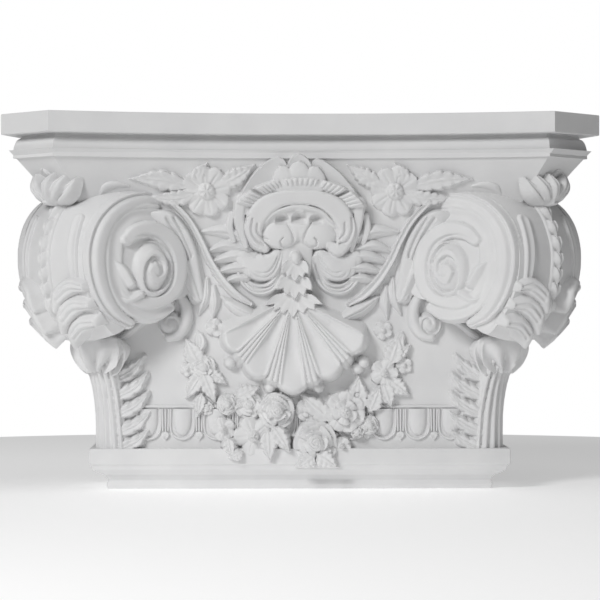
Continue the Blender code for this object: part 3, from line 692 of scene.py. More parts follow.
def make_scroll_blocks(material):
    blocks = Carving("scroll_blocks", SWEPT)
    rows = np.append(np.arange(len(RIM_PATH)), 0) / RIM_FINE
    across = np.linspace(0.0, 1.0, RIM_ACROSS + 1)
    blocks.grid(on_rim(rows[:, None], across[None], 0.0), mirror=True)
    shrink = np.linspace(1.0, 0.0, FACE_RINGS + 1)[:, None, None]
    outline = np.concatenate((RIM_PATH, RIM_PATH[:1]))
    plan = SCROLL_MIDDLE + (outline[None] - SCROLL_MIDDLE) * shrink
    face = on_face(plan[..., 0], plan[..., 1], np.zeros(plan.shape[:2]))
    blocks.grid(face, mirror=True, diagonal=True)
    blocks.finish(material)


# Strokes on the left scroll face, as x, z, half-width and lift
OUTER_BAND = (
    (-146, 303, 5, 1), (-160, 305, 7, 1), (-178, 301, 9, 1), (-194, 291, 9.5, 1), (-206, 274, 10, 1),
    (-212, 251, 10, 1), (-211, 226, 9.5, 1), (-204, 203, 8.5, 1), (-193, 186, 7, 1), (-178, 176, 5, 0),
)
TONGUE = ((-153, 297, 3.2, 4), (-164, 298, 3.8, 4), (-177, 294, 3.2, 4), (-189, 285, 1.2, 3))
BROAD_BAND = (
    (-107, 203, 6, 3), (-111, 218, 8.5, 3), (-116, 236, 10.5, 3), (-121, 253, 12, 3), (-130, 272, 12, 3),
    (-145, 284, 9.5, 3), (-163, 288, 8, 3), (-180, 284, 8, 3), (-193, 268, 9, 3), (-196, 244, 9, 3),
    (-194, 220, 9, 3), (-185, 200, 9, 3), (-171, 189, 9, 3), (-154, 186, 8, 3), (-140, 192, 6, 2),
)
INNER_BAND = (
    (-184, 262, 6, 7), (-175, 270, 8, 8), (-160, 273, 9, 8), (-146, 266, 9.5, 8), (-136, 250, 9.5, 8),
    (-134, 230, 9.5, 8), (-139, 210, 9, 7), (-153, 200, 8, 6), (-170, 198, 7, 5), (-184, 207, 4.5, 4),
    (-190, 222, 2, 2),
)
INNER_EDGE = (
    (-180, 264, 3), (-171, 268, 4), (-158, 267, 4), (-147, 260, 4), (-140, 247, 4), (-138, 230, 4),
    (-142, 213, 4), (-153, 204, 4), (-170, 202, 3),
)
# Domes as middle, radius, lift, crown and stretch
OVAL = (-158.0, 232.0, 19.0, 9.0, 9.0, 1.5)
FACE_PAD = (-162.0, 234.0, 34.0, 5.0, 2.0)
SWIRL = (
    (-176, 240, 5), (-171, 254, 6), (-160, 260, 7), (-149, 254, 7), (-143, 239, 7), (-145, 221, 7),
    (-154, 209, 6), (-165, 211, 6), (-170, 223, 6), (-168, 238, 5), (-160, 246, 5), (-152, 240, 4),
    (-151, 229, 4), (-157, 224, 3), (-162, 230, 2),
)
EYE_SLIT = ((-161, 239, 1.2), (-157.5, 241, 2.0), (-155, 238, 1.2))
HOOKS = (
    ((-195, 240, 0.8, 5), (-188, 232, 4.5, 8), (-180, 217, 5, 9)),
    ((-189, 203, 0.8, 5), (-181, 200, 4.5, 7), (-171, 206, 5, 9)),
)
# The carving of a scroll's side stops here, short of the wall
SIDE_FACE_END = -118.0


def make_scroll_faces(material):
    field = Field((-226, 158), (-98, 316), 0.9)
    field.stroke(OUTER_BAND, 9.0, rim_band)
    field.stroke(BROAD_BAND, 7.0, gutter, blend=0.6)
    field.stroke(TONGUE, 5.0, blend=0.6)
    field.dome(*FACE_PAD)
    field.stroke(INNER_BAND, 6.0, flat_round, blend=0.6)
    field.pleat(INNER_EDGE, 4.7)
    field.dome(*OVAL)
    field.pleat(SWIRL, 6.8)
    field.groove(EYE_SLIT, 3.0)
    for hook in HOOKS:
        field.stroke(hook, 5.0, keel, blend=0.6)
    carve_piece("scroll_faces", on_face, field, material)
    field.h[:, field.u[0] > SIDE_FACE_END] = FLOOR
    carve_piece("scroll_sides", lambda x, z, h: across_diagonal(on_face(x, z, h)), field, material)


# On the rims: a strip of husks down the middle, a flute beside it and wrapped leaves below
STRIP_TOP = 292.0
STRIP_LOW = 190.0
STRIP_HALF = 8.5
HUSKS = 7
# A husk's side and middle: place off the strip's middle, height by the step, half-width and lift
HUSK_SIDE = ((0.0, 0.0, 1.5, 3), (2.5, 0.45, 3.2, 5), (4.5, 0.9, 1, 4))
HUSK_MIDDLE = ((0.0, 0.0, 1.2, 4), (0.0, 0.6, 2.6, 4), (0.0, 0.95, 0.8, 3))
RIM_FLUTE = ((15, 280, 6, 0), (12, 250, 6, 0), (11, 226, 5, 0))
RIM_LEAVES = (
    ((2, 214, 5, 2), (13, 216, 7.5, 5), (26, 209, 7, 9), (34, 197, 2.5, 12)),
    ((1, 196, 4.5, 2), (14, 198, 7, 6), (28, 191, 6.5, 10), (37, 179, 2.5, 13)),
    ((3, 180, 4.5, 4), (15, 181, 6, 7), (28, 175, 5.5, 10), (36, 167, 2.5, 11)),
)


def make_rims(material):
    field = Field((-2, 166), (102, 300), 0.8)
    middle = RIM_CHORD / 2
    field.stroke(((middle, STRIP_TOP, STRIP_HALF, 0), (middle, STRIP_LOW, STRIP_HALF, 0)), 3.0, gutter)
    step = (STRIP_TOP - STRIP_LOW) / HUSKS

    def husk_part(keys, low):
        return [(off, low + rise * step, half, lift) for off, rise, half, lift in keys]

    for k in range(HUSKS):
        low = STRIP_LOW + step * (k + 0.1)
        for lean in (-1, 1):
            field.stroke(shifted(husk_part(HUSK_SIDE, low), lean, middle), 3.4, keel, blend=0.4)
        field.stroke(shifted(husk_part(HUSK_MIDDLE, low), 1, middle), 3.0)
    for side, shift in ((1, 0), (-1, RIM_CHORD)):
        field.stroke(shifted(RIM_FLUTE, side, shift), 4.0, gutter)
        for leaf in RIM_LEAVES:
            spine = shifted(leaf, side, shift)
            field.stroke(spine, 7.0, blend=0.5)
            for rise in FOLDS:
                field.groove(fold_line(spine[:-1], rise, 0.2), 2.4)
    carve_piece("scroll_rims", on_rim_front, field, material)


# Strokes on the bell's left half, as x, z, half-width and lift
STEM = (
    (-133, 301, 3, 4), (-117, 284, 3.4, 4), (-105, 263, 3.6, 4), (-96, 243, 4, 4), (-83, 222, 4.4, 4),
    (-68, 206, 4.4, 5), (-52, 196, 2.5, 5),
)
STEM_TIP = ((-82, 203, 2, 2), (-72, 195, 6, 4), (-57, 187, 7, 6), (-36, 174, 0.4, 7))
STEM_TIP_FOLD = ((-78, 199, 0.7), (-66, 190, 1.1), (-52, 183, 1.0), (-40, 176, 0.5))
SHOULDER = (
    (-157, 288, 4, 10), (-141, 282, 11, 11), (-129, 268, 12.5, 7), (-120, 249, 12, 5), (-114, 228, 10, 4),
    (-108, 204, 7, 3),
)
SHOULDER_GROOVES = (
    ((-139, 285, 1.4), (-129, 268, 2.0), (-121, 250, 1.8), (-118, 243, 1.0)),
    ((-132, 286, 1.2), (-123, 270, 1.8), (-115, 251, 1.6), (-114, 245, 1.0)),
)
SMALL_SCROLL = (
    (-140, 214, 1.5, 2), (-131, 209, 4.5, 3), (-122, 196, 6, 4), (-120, 180, 6.5, 4), (-127, 166, 6.5, 4),
    (-138, 162, 5.5, 4),
)
SMALL_DISC = (-136.0, 174.0, 13.0, 6.0, 5.0)
SMALL_SWIRL = (
    (-131, 186, 3), (-142, 186, 4), (-148, 177, 4), (-145, 167, 4), (-136, 164, 4), (-129, 170, 4),
    (-130, 179, 3), (-137, 181, 3), (-140, 175, 3), (-136, 171, 2),
)
SMALL_SLIT = ((-139, 207, 1.0), (-131, 200, 2.0), (-127, 190, 1.6), (-128, 183, 0.8))
THIN_STEM = (
    (-193, 158, 2.2, 2), (-183, 164, 3.6, 3), (-168, 175, 3, 3), (-150, 185, 3, 3), (-136, 196, 3, 3),
    (-131, 208, 2, 2),
)
SCROLL_HUSK = ((-108, 166, 3, 1), (-105, 155, 5, 3), (-110, 140, 1.5, 1))
# Leaves from the cartouche towards the stems, then from the flowers
SIDE_LEAVES = (
    ((-54, 262, 6, 1), (-78, 272, 7.5, 2), (-108, 271, 1, 1)),
    ((-56, 252, 6, 2), (-78, 257, 6, 3), (-101, 249, 1, 2)),
    ((-48, 244, 6, 6), (-71, 246, 6, 5), (-98, 238, 1, 3)),
    ((-50, 233, 5, 6), (-69, 234, 5, 6), (-92, 227, 1, 3)),
    ((-56, 223, 4, 5), (-68, 223, 4.5, 5), (-85, 216, 0.8, 3)),
    ((-98, 222, 3, 1), (-99, 204, 6.5, 2), (-107, 184, 1, 1)),
    ((-91, 214, 3, 1), (-90, 198, 6.5, 2), (-92, 180, 1, 1)),
)
FLOWER_LEAVES = (
    ((-116, 318, 5, 2), (-145, 324, 10, 3), (-177, 325, 2, 2)),
    ((-112, 309, 5, 3), (-132, 305, 8, 4), (-158, 307, 2, 2)),
    ((-82, 320, 6, 2), (-66, 328, 9, 3), (-48, 340, 2, 1)),
    ((-104, 322, 5, 1), (-106, 330, 7, 2), (-97, 341, 1.5, 1)),
)
# Flower beside the cartouche: middle, radius and how far its middle stands off the bell
TOP_FLOWER = (-98.0, 313.0, 26.0, 12.0)
SCROLL_CREST = ((-208, 308, 2, 0), (-201, 316, 5, 0), (-190, 319, 4, 0), (-178, 318, 2, 0))


def make_stems(material):
    field = Field((-212, 138), (-29, 345), 0.85, wall=4.0)
    field.stroke(SCROLL_CREST, 5.0)
    for leaf in SIDE_LEAVES:
        field.stroke(leaf, 7.0, keel, blend=0.5)
        field.groove(fold_line(leaf, -0.3, 0.12), 1.5)
    field.stroke(SHOULDER, 7.0, flat_round)
    for groove in SHOULDER_GROOVES:
        field.groove(groove, 3.6)
    field.stroke(THIN_STEM, 5.0)
    field.stroke(SMALL_SCROLL, 7.0, blend=0.6)
    field.dome(*SMALL_DISC)
    field.pleat(SMALL_SWIRL[::-1], 3.5)
    field.groove(SMALL_SLIT, 6.0)
    field.leaf(SCROLL_HUSK, 8.0, lobes=1, notch=0.0)
    field.stroke(STEM, 8.0, gutter)
    field.stroke(STEM_TIP, 8.0, keel, blend=0.5)
    field.groove(STEM_TIP_FOLD, 2.0)
    for leaf in FLOWER_LEAVES:
        field.leaf(leaf, 7.0, lobes=5, notch=0.25)
    field.blossom(*TOP_FLOWER, "daisy", 0.2)
    carve_piece("stems_and_flowers", on_bell, field, material)


# Leaf wrapped round each corner of the bell, as a body with reeds on it
CORNER_SPINE = (
    (0, 42, 22, 1), (0, 70, 19, 2), (0, 96, 16, 4), (0, 118, 13, 8), (0, 136, 10, 16), (0, 148, 8, 24),
)
REEDS = 6
REED_SPREAD = 15.0
# A reed's keys: share of its place in the spread, height, half-width and lift
REED = ((1.0, 42, 2.1, 5), (0.82, 80, 1.8, 6), (0.6, 112, 1.4, 11), (0.42, 140, 1.2, 22))
# Leaflets: height of the root and of the tip, and how far round the tip is
LEAFLETS = ((46, 62, 43), (64, 82, 45), (83, 102, 43), (102, 122, 42), (121, 141, 38))
LEAFLET_ROOT = 9.0
LEAFLET_DROP = 5.0
# Where a leaflet bends: share of the way round from root to tip, and share of the way up
LEAFLET_BEND = (0.6, 0.28)
# Overhanging tip of the leaf: height, half-width and lift, then its ruffles, their depth and their columns
CORNER_TIP = ((132, 9, 22), (141, 17, 32), (151, 21, 38), (160, 18, 37), (166, 9, 30))
TIP_RUFFLES = 7
RUFFLE_DEPTH = 3.6
TIP_COLUMNS = 49


def raise_leaflets(field):
    across, up = LEAFLET_BEND
    for low, high, tip in LEAFLETS:
        for side in (-1, 1):
            root = (side * LEAFLET_ROOT, low - LEAFLET_DROP, 5, 4)
            reach = (1 - across) * LEAFLET_ROOT + across * tip
            bend = (side * reach, low + up * (high - low), 6.6, 3)
            field.leaf((root, bend, (side * tip, high, 2.6, 4)), 8.0, lobes=3, notch=0.3, veins=1.2)


def make_corner_leaves(material):
    field = Field((-52, 38), (52, 160), 0.8)
    field.stroke(CORNER_SPINE, 5.0, flat_round)
    raise_leaflets(field)
    for k in range(REEDS):
        lean = (2 * k / (REEDS - 1) - 1) * REED_SPREAD
        reed = [(share * lean, z, half, lift) for share, z, half, lift in REED]
        field.stroke(reed, 5.5, blend=0.2)
    leaves = Carving("corner_leaves")
    leaves.carve(on_corner, field, mirror=True)
    z, half, lift = smooth_path(CORNER_TIP, 8).T[:, :, None]
    s = np.linspace(-1.0, 1.0, TIP_COLUMNS)[None]
    ruffle = np.cos(TIP_RUFFLES * math.pi * s)
    low = np.clip((158 - z) / 20, 0, 1)
    lip = lift * (1 - 0.45 * s**2) + RUFFLE_DEPTH * ruffle * (0.35 + 0.65 * low)
    fall = 5 * s**2 + 4.2 * (1 + ruffle) * low
    leaves.lay(on_corner, 1.15 * half * s, z - fall, lip, sink=0.0, mirror=True)
    leaves.finish(material)


# Leafy cluster on each scroll, under the horn, carved on an upright plane that stands off the scroll.
# The leaves are those on its right; the left ones mirror them
CLUSTER_BACK = 6.0
CLUSTER_LEAVES = (
    ((3.2, 302, 4.2, 6), (13.9, 305.4, 5.1, 9), (23.7, 312.9, 5.5, 9), (32, 325.3, 1.2, 4)),
    ((2.5, 302, 4.2, 11), (10.6, 308.7, 5.1, 17), (18, 318, 5.5, 18), (26.5, 330.4, 1.2, 11)),
    ((1.6, 302, 4.2, 16), (4.9, 310.4, 4.7, 22), (8.2, 319.6, 5.1, 24), (12.8, 329.5, 1.2, 20)),
)
CLUSTER_BUD = (0.0, 337.0, 12.0, 10.0, 12.0)


def make_clusters(material):
    field = Field((-44, 288), (44, 352), 0.7, wall=7.0)
    field.dome(*CLUSTER_BUD, beads=5)
    for leaf in CLUSTER_LEAVES:
        for side in (-1, 1):
            spine = shifted(leaf, side)
            field.stroke(spine, 6.0, blend=0.4)
            field.groove(fold_line(spine, 0.0, 0.22), 2.5)
    carve_piece("corner_clusters", lambda u, z, h: under_horn(u, z, h - CLUSTER_BACK), field, material)


# Cartouche in the middle: strokes as x, z, half-width and lift
MIDDLE = (-1.0, 288.0)
# Outline of the notched cap, and of the scalloped crest that stands before its top
CAP_OUTLINE = (
    (-60, 289), (-64, 302), (-54, 322), (-42, 337), (-30, 345), (-22.5, 347), (-17, 344), (-14.4, 339),
    (-11, 345), (-7, 348.5), (-2.4, 350), (2.5, 348.5), (7, 345), (10.6, 340), (12, 343), (15.5, 345),
    (24, 343), (34, 336), (49, 321), (61, 304), (58, 290),
)
CREST_OUTLINE = (
    (-30, 318), (-27, 331), (-22, 338), (-16, 338), (-12, 335.5), (-8, 340.5), (-2, 343), (4, 340.5),
    (8, 335.5), (12, 338), (18, 337), (23, 331), (27, 318),
)
# Lift of each fan's middle, its rise to the edge and the power of that rise; then the edge's steepness
CAP_RISE = (11.0, 4.5, 6)
CREST_RISE = (19.0, -3.0, 8)
TIER_RISE = (4.0, 2)
CLIFF = 7.0
# The ruffle over the hood lies on an ellipse: its half axes, then each group's turn from, turn to and flutes
RUFFLE = (60.0, 33.0)
FLUTES = ((-72, -47, 4), (-44.5, -18, 6), (-16.5, 18, 7), (20, 46, 5), (49, 76, 4))
# Shares of the ellipse where the ruffle starts, where it swells from and where it falls off, and its lift
RUFFLE_START, RUFFLE_SWELL, RUFFLE_END, RUFFLE_LIFT = 0.75, 0.8, 1.14, 14.0
HOOD = (
    (-37, 254, 4, 13), (-46, 262, 7, 14), (-49, 275, 9.5, 15), (-44, 289, 10.5, 16), (-34, 299, 10, 17),
    (-19, 305, 8, 18), (-1, 306.5, 7.5, 18), (17, 305, 8, 18), (32, 299, 10, 17), (42, 289, 10.5, 16),
    (48, 275, 9.5, 15), (46, 262, 8, 15), (39, 253, 7, 15), (31, 257, 4.5, 14),
)
HOOD_GROOVES = (
    ((-55, 286, 1.2), (-57, 272, 1.6), (-52, 260, 1.5), (-44, 254, 1.0)),
    ((-50, 284, 1.0), (-51, 272, 1.5), (-45, 262, 1.5), (-38, 258, 1.0)),
    ((-45, 279, 1.0), (-45, 271, 1.4), (-39, 265, 1.3), (-34, 263, 1.0)),
    ((53, 286, 1.2), (54, 273, 1.6), (49, 262, 1.5), (41, 259, 1.0)),
    ((46, 280, 1.0), (46, 270, 1.4), (41, 264, 1.2)),
)
LENS_BAND = (
    (-37, 281, 1.6, 16), (-27, 290.5, 2.2, 17), (-12, 295.5, 2.4, 18), (-2, 296.5, 2.4, 18),
    (8, 295.5, 2.4, 18), (22, 291, 2.2, 17), (33, 281, 1.6, 16),
)
LENS_PAD = ((-32, 283, 11, 11), (-1, 286, 13, 12), (30, 283, 11, 11))
CHEEK_PAD = ((-36, 271, 11, 10), (-1, 273, 11, 11), (34, 271, 11, 10))
# Arched hollows: middle, half-width and height; then how far they run down, their depth and their roundness
ALCOVES = ((-19.0, 283.5, 7.6, 6.5), (-1.4, 284.5, 8.4, 7.5), (16.5, 283.5, 7.6, 6.5))
ALCOVE_FOOT = 6.0
ALCOVE_DEPTH = 11.0
ALCOVE_POWER = 0.7
# Domes as middle, radius, lift, crown and stretch
CHEEKS = ((-21.0, 267.5, 19.0, 12.5, 6.5, 0.72), (17.5, 267.5, 19.0, 12.5, 6.5, 0.72))
MIDDLE_PAD = (-1.0, 274.0, 12.0, 12.0, 6.0, 0.8)
BUTTON = (-5.0, 243.5, 4.8, 21.0, 5.0, 1.2)
CHEEK_GROOVES = (
    ((-14, 280, 0.9), (-9, 271, 1.3), (-7, 262, 1.4), (-11, 256, 1.3), (-18, 256, 1.2), (-21, 261, 1.0),
     (-18, 265, 0.7)),
    ((11, 280, 0.9), (6, 271, 1.3), (3.5, 262, 1.4), (8, 255.5, 1.3), (15, 256, 1.2), (17.5, 261, 1.0),
     (14.5, 265, 0.7)),
)
STRAPS = (
    ((-62, 305, 6, 9), (-64, 286, 6, 9), (-61, 269, 4.5, 8), (-57, 256, 2.5, 7)),
    ((61, 301, 6, 9), (60, 284, 5.5, 9), (57, 267, 4, 8), (54, 252, 2, 7)),
    ((-72, 290, 3, 3), (-74, 276, 4, 3), (-70, 262, 3, 2)),
    ((69, 288, 3, 3), (70, 274, 4, 3), (66, 260, 3, 2)),
)
# The left half's cup, the edges of the pleats below it and its hem
CUP = ((-60, 244, 8, 8), (-50, 236, 13, 8), (-36, 235, 14, 9), (-24, 244, 9, 9))
PLEATS = (
    ((-60, 243, 3), (-60, 230, 4), (-54, 220, 4), (-44, 214, 4), (-32, 215, 4), (-23, 224, 4),
     (-18, 238, 3), (-17, 252, 2)),
    ((-56, 236, 3), (-53, 226, 3), (-44, 219, 3), (-33, 220, 3), (-25, 228, 3), (-20, 240, 3), (-18, 253, 2)),
    ((-52, 231, 2), (-45, 225, 3), (-36, 225, 3), (-28, 231, 3), (-23, 242, 3), (-20, 253, 2)),
    ((-47, 231, 2), (-40, 229, 2), (-33, 231, 2), (-27, 239, 2), (-23, 249, 2)),
)
HEM = (
    (-63, 240, 3, 6), (-62, 227, 4.5, 6), (-55, 216, 5, 7), (-44, 211, 5.5, 8), (-31, 214, 5.5, 9),
    (-22, 226, 5, 9), (-17, 243, 4, 9),
)
HEM_FOLD_HALF = 0.9
# Hanging leaf: each tier's middle, lift and outline of tips and notches
TIERS = (
    ((-7, 210), 15.0, (
        (-25, 206), (-35, 195), (-27, 196), (-28, 189), (-21, 192), (-18.5, 186), (-13, 190), (-8, 181.5),
        (-2.5, 190), (3, 186), (7, 192), (15, 190), (15, 196), (23, 196), (12, 206),
    )),
    ((-6, 226), 17.0, (
        (-18, 224), (-24, 212), (-17.5, 213), (-15, 205.5), (-11, 208.5), (-6.3, 200.5), (-1.5, 208.5),
        (3.5, 205), (6, 212), (11.5, 211), (8, 224),
    )),
    ((-5, 243), 19.0, (
        (-14, 241), (-19, 229), (-15, 229), (-13.5, 224), (-10, 226.5), (-5.8, 219.5), (-1.5, 226.5),
        (2, 223.5), (4.5, 229), (8, 228), (5, 241),
    )),
)
HANGING_PANEL = ((-4, 256, 17, 8), (-4, 236, 16, 9), (-5, 214, 13, 9), (-7, 198, 10, 8))


def fan(field, middle, outline, low, rise, power, down=False, crease=0.0):
    """A shell-like fan from its middle to an outline, rising to its edge, which ends in a steep drop."""
    across, up = field.u - middle[0], (field.v - middle[1]) * (-1 if down else 1)
    edge = (np.array(outline, float) - middle) * (1, -1 if down else 1)
    turns = np.degrees(np.arctan2(edge[:, 0], edge[:, 1]))
    order = np.argsort(turns)
    turn = np.degrees(np.arctan2(across, up))
    reaches = np.hypot(edge[:, 0], edge[:, 1])[order]
    reach = np.interp(turn, turns[order], reaches)
    past = np.hypot(across, up) - reach
    share = np.clip(1 + past / reach, 0, 1)
    folds = crease * np.cos(math.pi * np.interp(turn, turns[order], np.arange(len(turns)))) * share**2
    height = low + rise * share**power + folds - CLIFF * np.clip(past, 0, 20)
    inside = (turn > turns.min()) & (turn < turns.max())
    field.raise_to(WHOLE, np.where(inside, np.maximum(FLOOR, height), FLOOR), 0.4)


def raise_cap(field):
    """The notched cap behind, the scalloped crest before it and the ruffle over the hood."""
    fan(field, MIDDLE, CAP_OUTLINE, *CAP_RISE)
    fan(field, MIDDLE, CREST_OUTLINE, *CREST_RISE)
    x, z = MIDDLE
    du, dv = (field.u - x) / RUFFLE[0], (field.v - z) / RUFFLE[1]
    e = np.hypot(du, dv)
    turn = np.degrees(np.arctan2(du, dv))
    outer = np.clip((e - RUFFLE_SWELL) / 0.36, 0, 1)
    for first, last, count in FLUTES:
        place = (turn - first) / (last - first)
        inside = np.clip(place, 0, 1)
        rounded = np.sqrt(np.clip(1 - (2 * inside - 1) ** 8, 0, 1))
        ridge = np.abs(np.sin(math.pi * count * inside)) ** 0.7
        swell = 8.5 * np.sin(0.7 * math.pi * outer) * rounded
        lift = RUFFLE_LIFT + swell + 3.0 * (ridge - 1) * np.sin(math.pi * outer)
        past = RUFFLE[1] * np.clip(e - RUFFLE_END, 0, None) + 25 * np.abs(place - inside)
        height = np.where(e > RUFFLE_START, np.maximum(FLOOR, lift - CLIFF * past), FLOOR)
        field.raise_to(WHOLE, height, 0.5)


def sink_alcove(field, u, v, reach, tall):
    """An arched hollow, deepest at its middle, that runs out at its foot."""
    pit = field.window(u - reach, u + reach, v - ALCOVE_FOOT, v + tall)
    du, dv = field.u[pit] - u, field.v[pit] - v
    hollow = np.clip(1 - (du / reach) ** 2 - (np.clip(dv, 0, None) / tall) ** 2, 0, 1) ** ALCOVE_POWER
    field.h[pit] -= ALCOVE_DEPTH * hollow * np.clip((dv + ALCOVE_FOOT) / 8, 0, 1)


def make_cartouche(material):
    field = Field((-92, 178), (92, 358), 0.65, wall=4.5)
    for strap in STRAPS:
        field.stroke(strap, 7.0, flat_round)
    raise_cap(field)
    for side, shift in ((1, 0.0), (-1, 2 * MIDDLE[0])):
        hem = shifted(HEM, side, shift)
        field.stroke(hem, 2.5, blend=3.5)
        for fold in FOLDS:
            field.groove([(u, v + fold * half, HEM_FOLD_HALF) for u, v, half, _ in hem], 2.4)
        field.stroke(shifted(CUP, side, shift), 6.0, blend=4.0)
        for pleat in PLEATS:
            field.pleat(shifted(pleat, side, shift)[::side], 3.2)
    field.stroke(LENS_PAD, 4.0, flat_round)
    field.stroke(CHEEK_PAD, 3.0, flat_round)
    for cheek in CHEEKS:
        field.dome(*cheek, blend=4.0)
    field.dome(*MIDDLE_PAD, blend=5.0)
    for groove in CHEEK_GROOVES:
        field.groove(groove, 2.6)
    for alcove in ALCOVES:
        sink_alcove(field, *alcove)
    field.stroke(HOOD, 5.0, flat_round, blend=2.0)
    field.stroke(LENS_BAND, 3.0, blend=0.6)
    for groove in HOOD_GROOVES:
        field.groove(groove, 3.0)
    field.stroke(HANGING_PANEL, 3.0, flat_round)
    for middle, lift, outline in TIERS:
        fan(field, middle, outline, lift, *TIER_RISE, down=True, crease=-1.0)
    field.dome(*BUTTON)
    carve_piece("cartouche", on_bell, field, material, mirror=False)


# Shell under the cartouche: its lobes and the pairs of ribs between them, with angles in degrees
SHELL_HINGE = (-8.0, 203.0)
SHELL_REACH = (89.0, 95.0, 103.0, 96.0, 93.0)
SHELL_RISE = (14.0, 27.0)
LOBE_STEP = 27.0
LOBE_HALF = 9.6
# How far a lobe's edge draws back at its sides, the share of its reach that its edge turns over in, where
# its hollow ends, the hollow's depth and the edge's lift, and the height of its side rims
LOBE_DRAW = 0.07
LOBE_EDGE = 0.08
HOLLOW_END = 0.82
HOLLOW_LIFT = (-6.0, 2.5)
SIDE_RIM = 2.2
RIB_HALF = 1.75
RIB_REACH = 0.91
RIB_LOW = 2.2
RIB_CROWN = 3.0
BERRIES = ((-74, 134), (-32, 108), (19, 108), (61, 128), (67, 134))

# Garland: kind, x, z, radius and how far its middle stands off the bell
GARLAND = (
    ("open", -90, 171, 10, 9), ("open", 88, 168, 10, 9), ("rose", -102, 129, 13, 13),
    ("open", -119, 127, 8, 9), ("bud", -98, 86, 7, 11), ("rose", -55, 90, 15, 13), ("rose", -77, 90, 11, 17),
    ("peony", 8, 84, 13, 13), ("open", -81, 64, 13, 17), ("rose", -25, 83, 19, 26), ("open", -49, 57, 21, 24),
    ("peony", 47, 82, 22, 25), ("open", 44, 46, 10, 22), ("rose", 16, 50, 23, 32), ("bud", 60, 61, 7, 18),
    ("rose", 73, 68, 10, 17), ("open", 89, 123, 15, 16), ("open", 110, 131, 9, 9), ("open", 101, 141, 7, 10),
    ("bud", 60, 100, 8, 12),
)
# Garland leaves: root, tip, half-width and lift
SPRIGS = (
    (-104, 122, -120, 97, 8, 4), (-102, 122, -90, 93, 8, 6), (-96, 124, -78, 112, 6, 4),
    (-76, 54, -72, 36, 6, 17), (-62, 40, -74, 34, 6, 16), (-34, 62, -32, 32, 8, 17),
    (-28, 66, -12, 42, 8, 18), (14, 36, -2, 25, 8, 20), (18, 38, 38, 25, 9, 20), (60, 84, 62, 118, 11, 8),
    (74, 84, 84, 108, 9, 8), (88, 110, 96, 88, 9, 6), (96, 114, 114, 100, 8, 5), (96, 134, 104, 160, 10, 5),
    (98, 140, 116, 152, 7, 4), (-108, 134, -120, 158, 10, 4), (-112, 134, -104, 152, 7, 3),
    (30, 74, 2, 100, 10, 9), (-66, 98, -44, 108, 8, 6), (-104, 100, -108, 78, 6, 5),
)


def raise_shell(field):
    """Hollow lobes with raised sides, and two ribs in each gap between them."""
    x, z = SHELL_HINGE
    off = np.hypot(field.u - x, field.v - z)
    turn = np.degrees(np.arctan2(field.u - x, z - field.v))

    def raise_ray(s, half, reach, end, height, blend):
        past = np.radians(np.clip(np.abs(s) - 1, 0, None) * half) * off
        past = past + reach * np.clip(off / reach - end, 0, None)
        field.raise_to(WHOLE, np.where(np.abs(s) < 3, height - WALL_SLOPE * past, FLOOR), blend)

    for lobe, reach in enumerate(SHELL_REACH):
        t = off / reach
        s = (turn - (lobe - 2) * LOBE_STEP) / LOBE_HALF
        s_in = np.clip(np.abs(s), 0, 1)
        opened = np.clip(t * 1.6, 0, 1)
        end = 1 - LOBE_DRAW * s_in**2
        hollow = (1 - s_in**2) * np.clip((t - HOLLOW_END) / 0.05, *HOLLOW_LIFT) * opened
        rim = SIDE_RIM * np.exp(-(((s_in - 0.86) / 0.12) ** 2)) * opened
        over = 0.3 + 0.7 * closing(t, end - LOBE_EDGE, LOBE_EDGE, 2)
        height = (np.interp(t, (0, 1), SHELL_RISE) + hollow + rim) * over
        raise_ray(s, LOBE_HALF, reach, end, height, 0.6)
    for gap in range(len(SHELL_REACH) - 1):
        reach = RIB_REACH * (SHELL_REACH[gap] + SHELL_REACH[gap + 1]) / 2
        for side in (-1, 1):
            s = (turn - (gap - 1.5) * LOBE_STEP - side * RIB_HALF) / RIB_HALF
            crown = RIB_CROWN * np.sqrt(np.clip(1 - s**2, 0, 1))
            height = np.interp(off / reach, (0, 1), SHELL_RISE) - RIB_LOW + crown
            raise_ray(s, RIB_HALF, reach, 1, height, 0.5)


def make_garland(material):
    field = Field((-128, 23), (122, 206), 0.64, wall=4.5)
    for u, v in BERRIES:
        field.dome(u, v, 5.5, 8.0, 6.0)
    raise_shell(field)
    for x, z, tip_x, tip_z, half, lift in SPRIGS:
        middle = ((x + tip_x) / 2, (z + tip_z) / 2, half, lift)
        field.leaf(((x, z, half * 0.9, lift), middle, (tip_x, tip_z, half * 0.4, lift)), 6.5, lobes=4)
    for k, (kind, x, z, radius, stand) in enumerate(GARLAND):
        field.blossom(x, z, radius, stand, kind, 0.7 * k)
    carve_piece("shell_and_garland", on_foot, field, material, mirror=False)


# Egg-and-dart: the band, the eggs' frames and step, and the share of the side's depth where its egg is
EGG_LOW = 52.5
EGG_TALL = 32.5
EGG_TOP = EGG_LOW + EGG_TALL
EGG_PITCH = 35.5
EGG_COUNT = 5
SIDE_EGG = 0.18
FRAME_HALF = 12.4
FRAME_CROWN = 3.2
# A frame's keys: share of its half-width, height in the band and half-width of its bead
EGG_FRAME = (
    (-1.0, EGG_TALL, 1.3), (-1.0, 12.0, 1.3), (-0.7, 4.0, 1.4), (0.0, 0.5, 1.6), (0.7, 4.0, 1.4),
    (1.0, 12.0, 1.3), (1.0, EGG_TALL, 1.3),
)
# An egg's half-width, crown and gap above the band's foot, and its rows and columns
EGG_HALF = 9.6
EGG_CROWN = 5.2
EGG_GAP = 4.0
EGG_ROWS, EGG_COLUMNS = 18, 15
# A dart's three reeds, and its husk as height in the band, half-width and lift
DART_REEDS = (-3.4, 0.0, 3.4)
DART_CROWN = 3.0
DART_HUSK = ((10, 3.4, 1), (5, 4.0, 1.2), (-1, 0.8, 0.8))
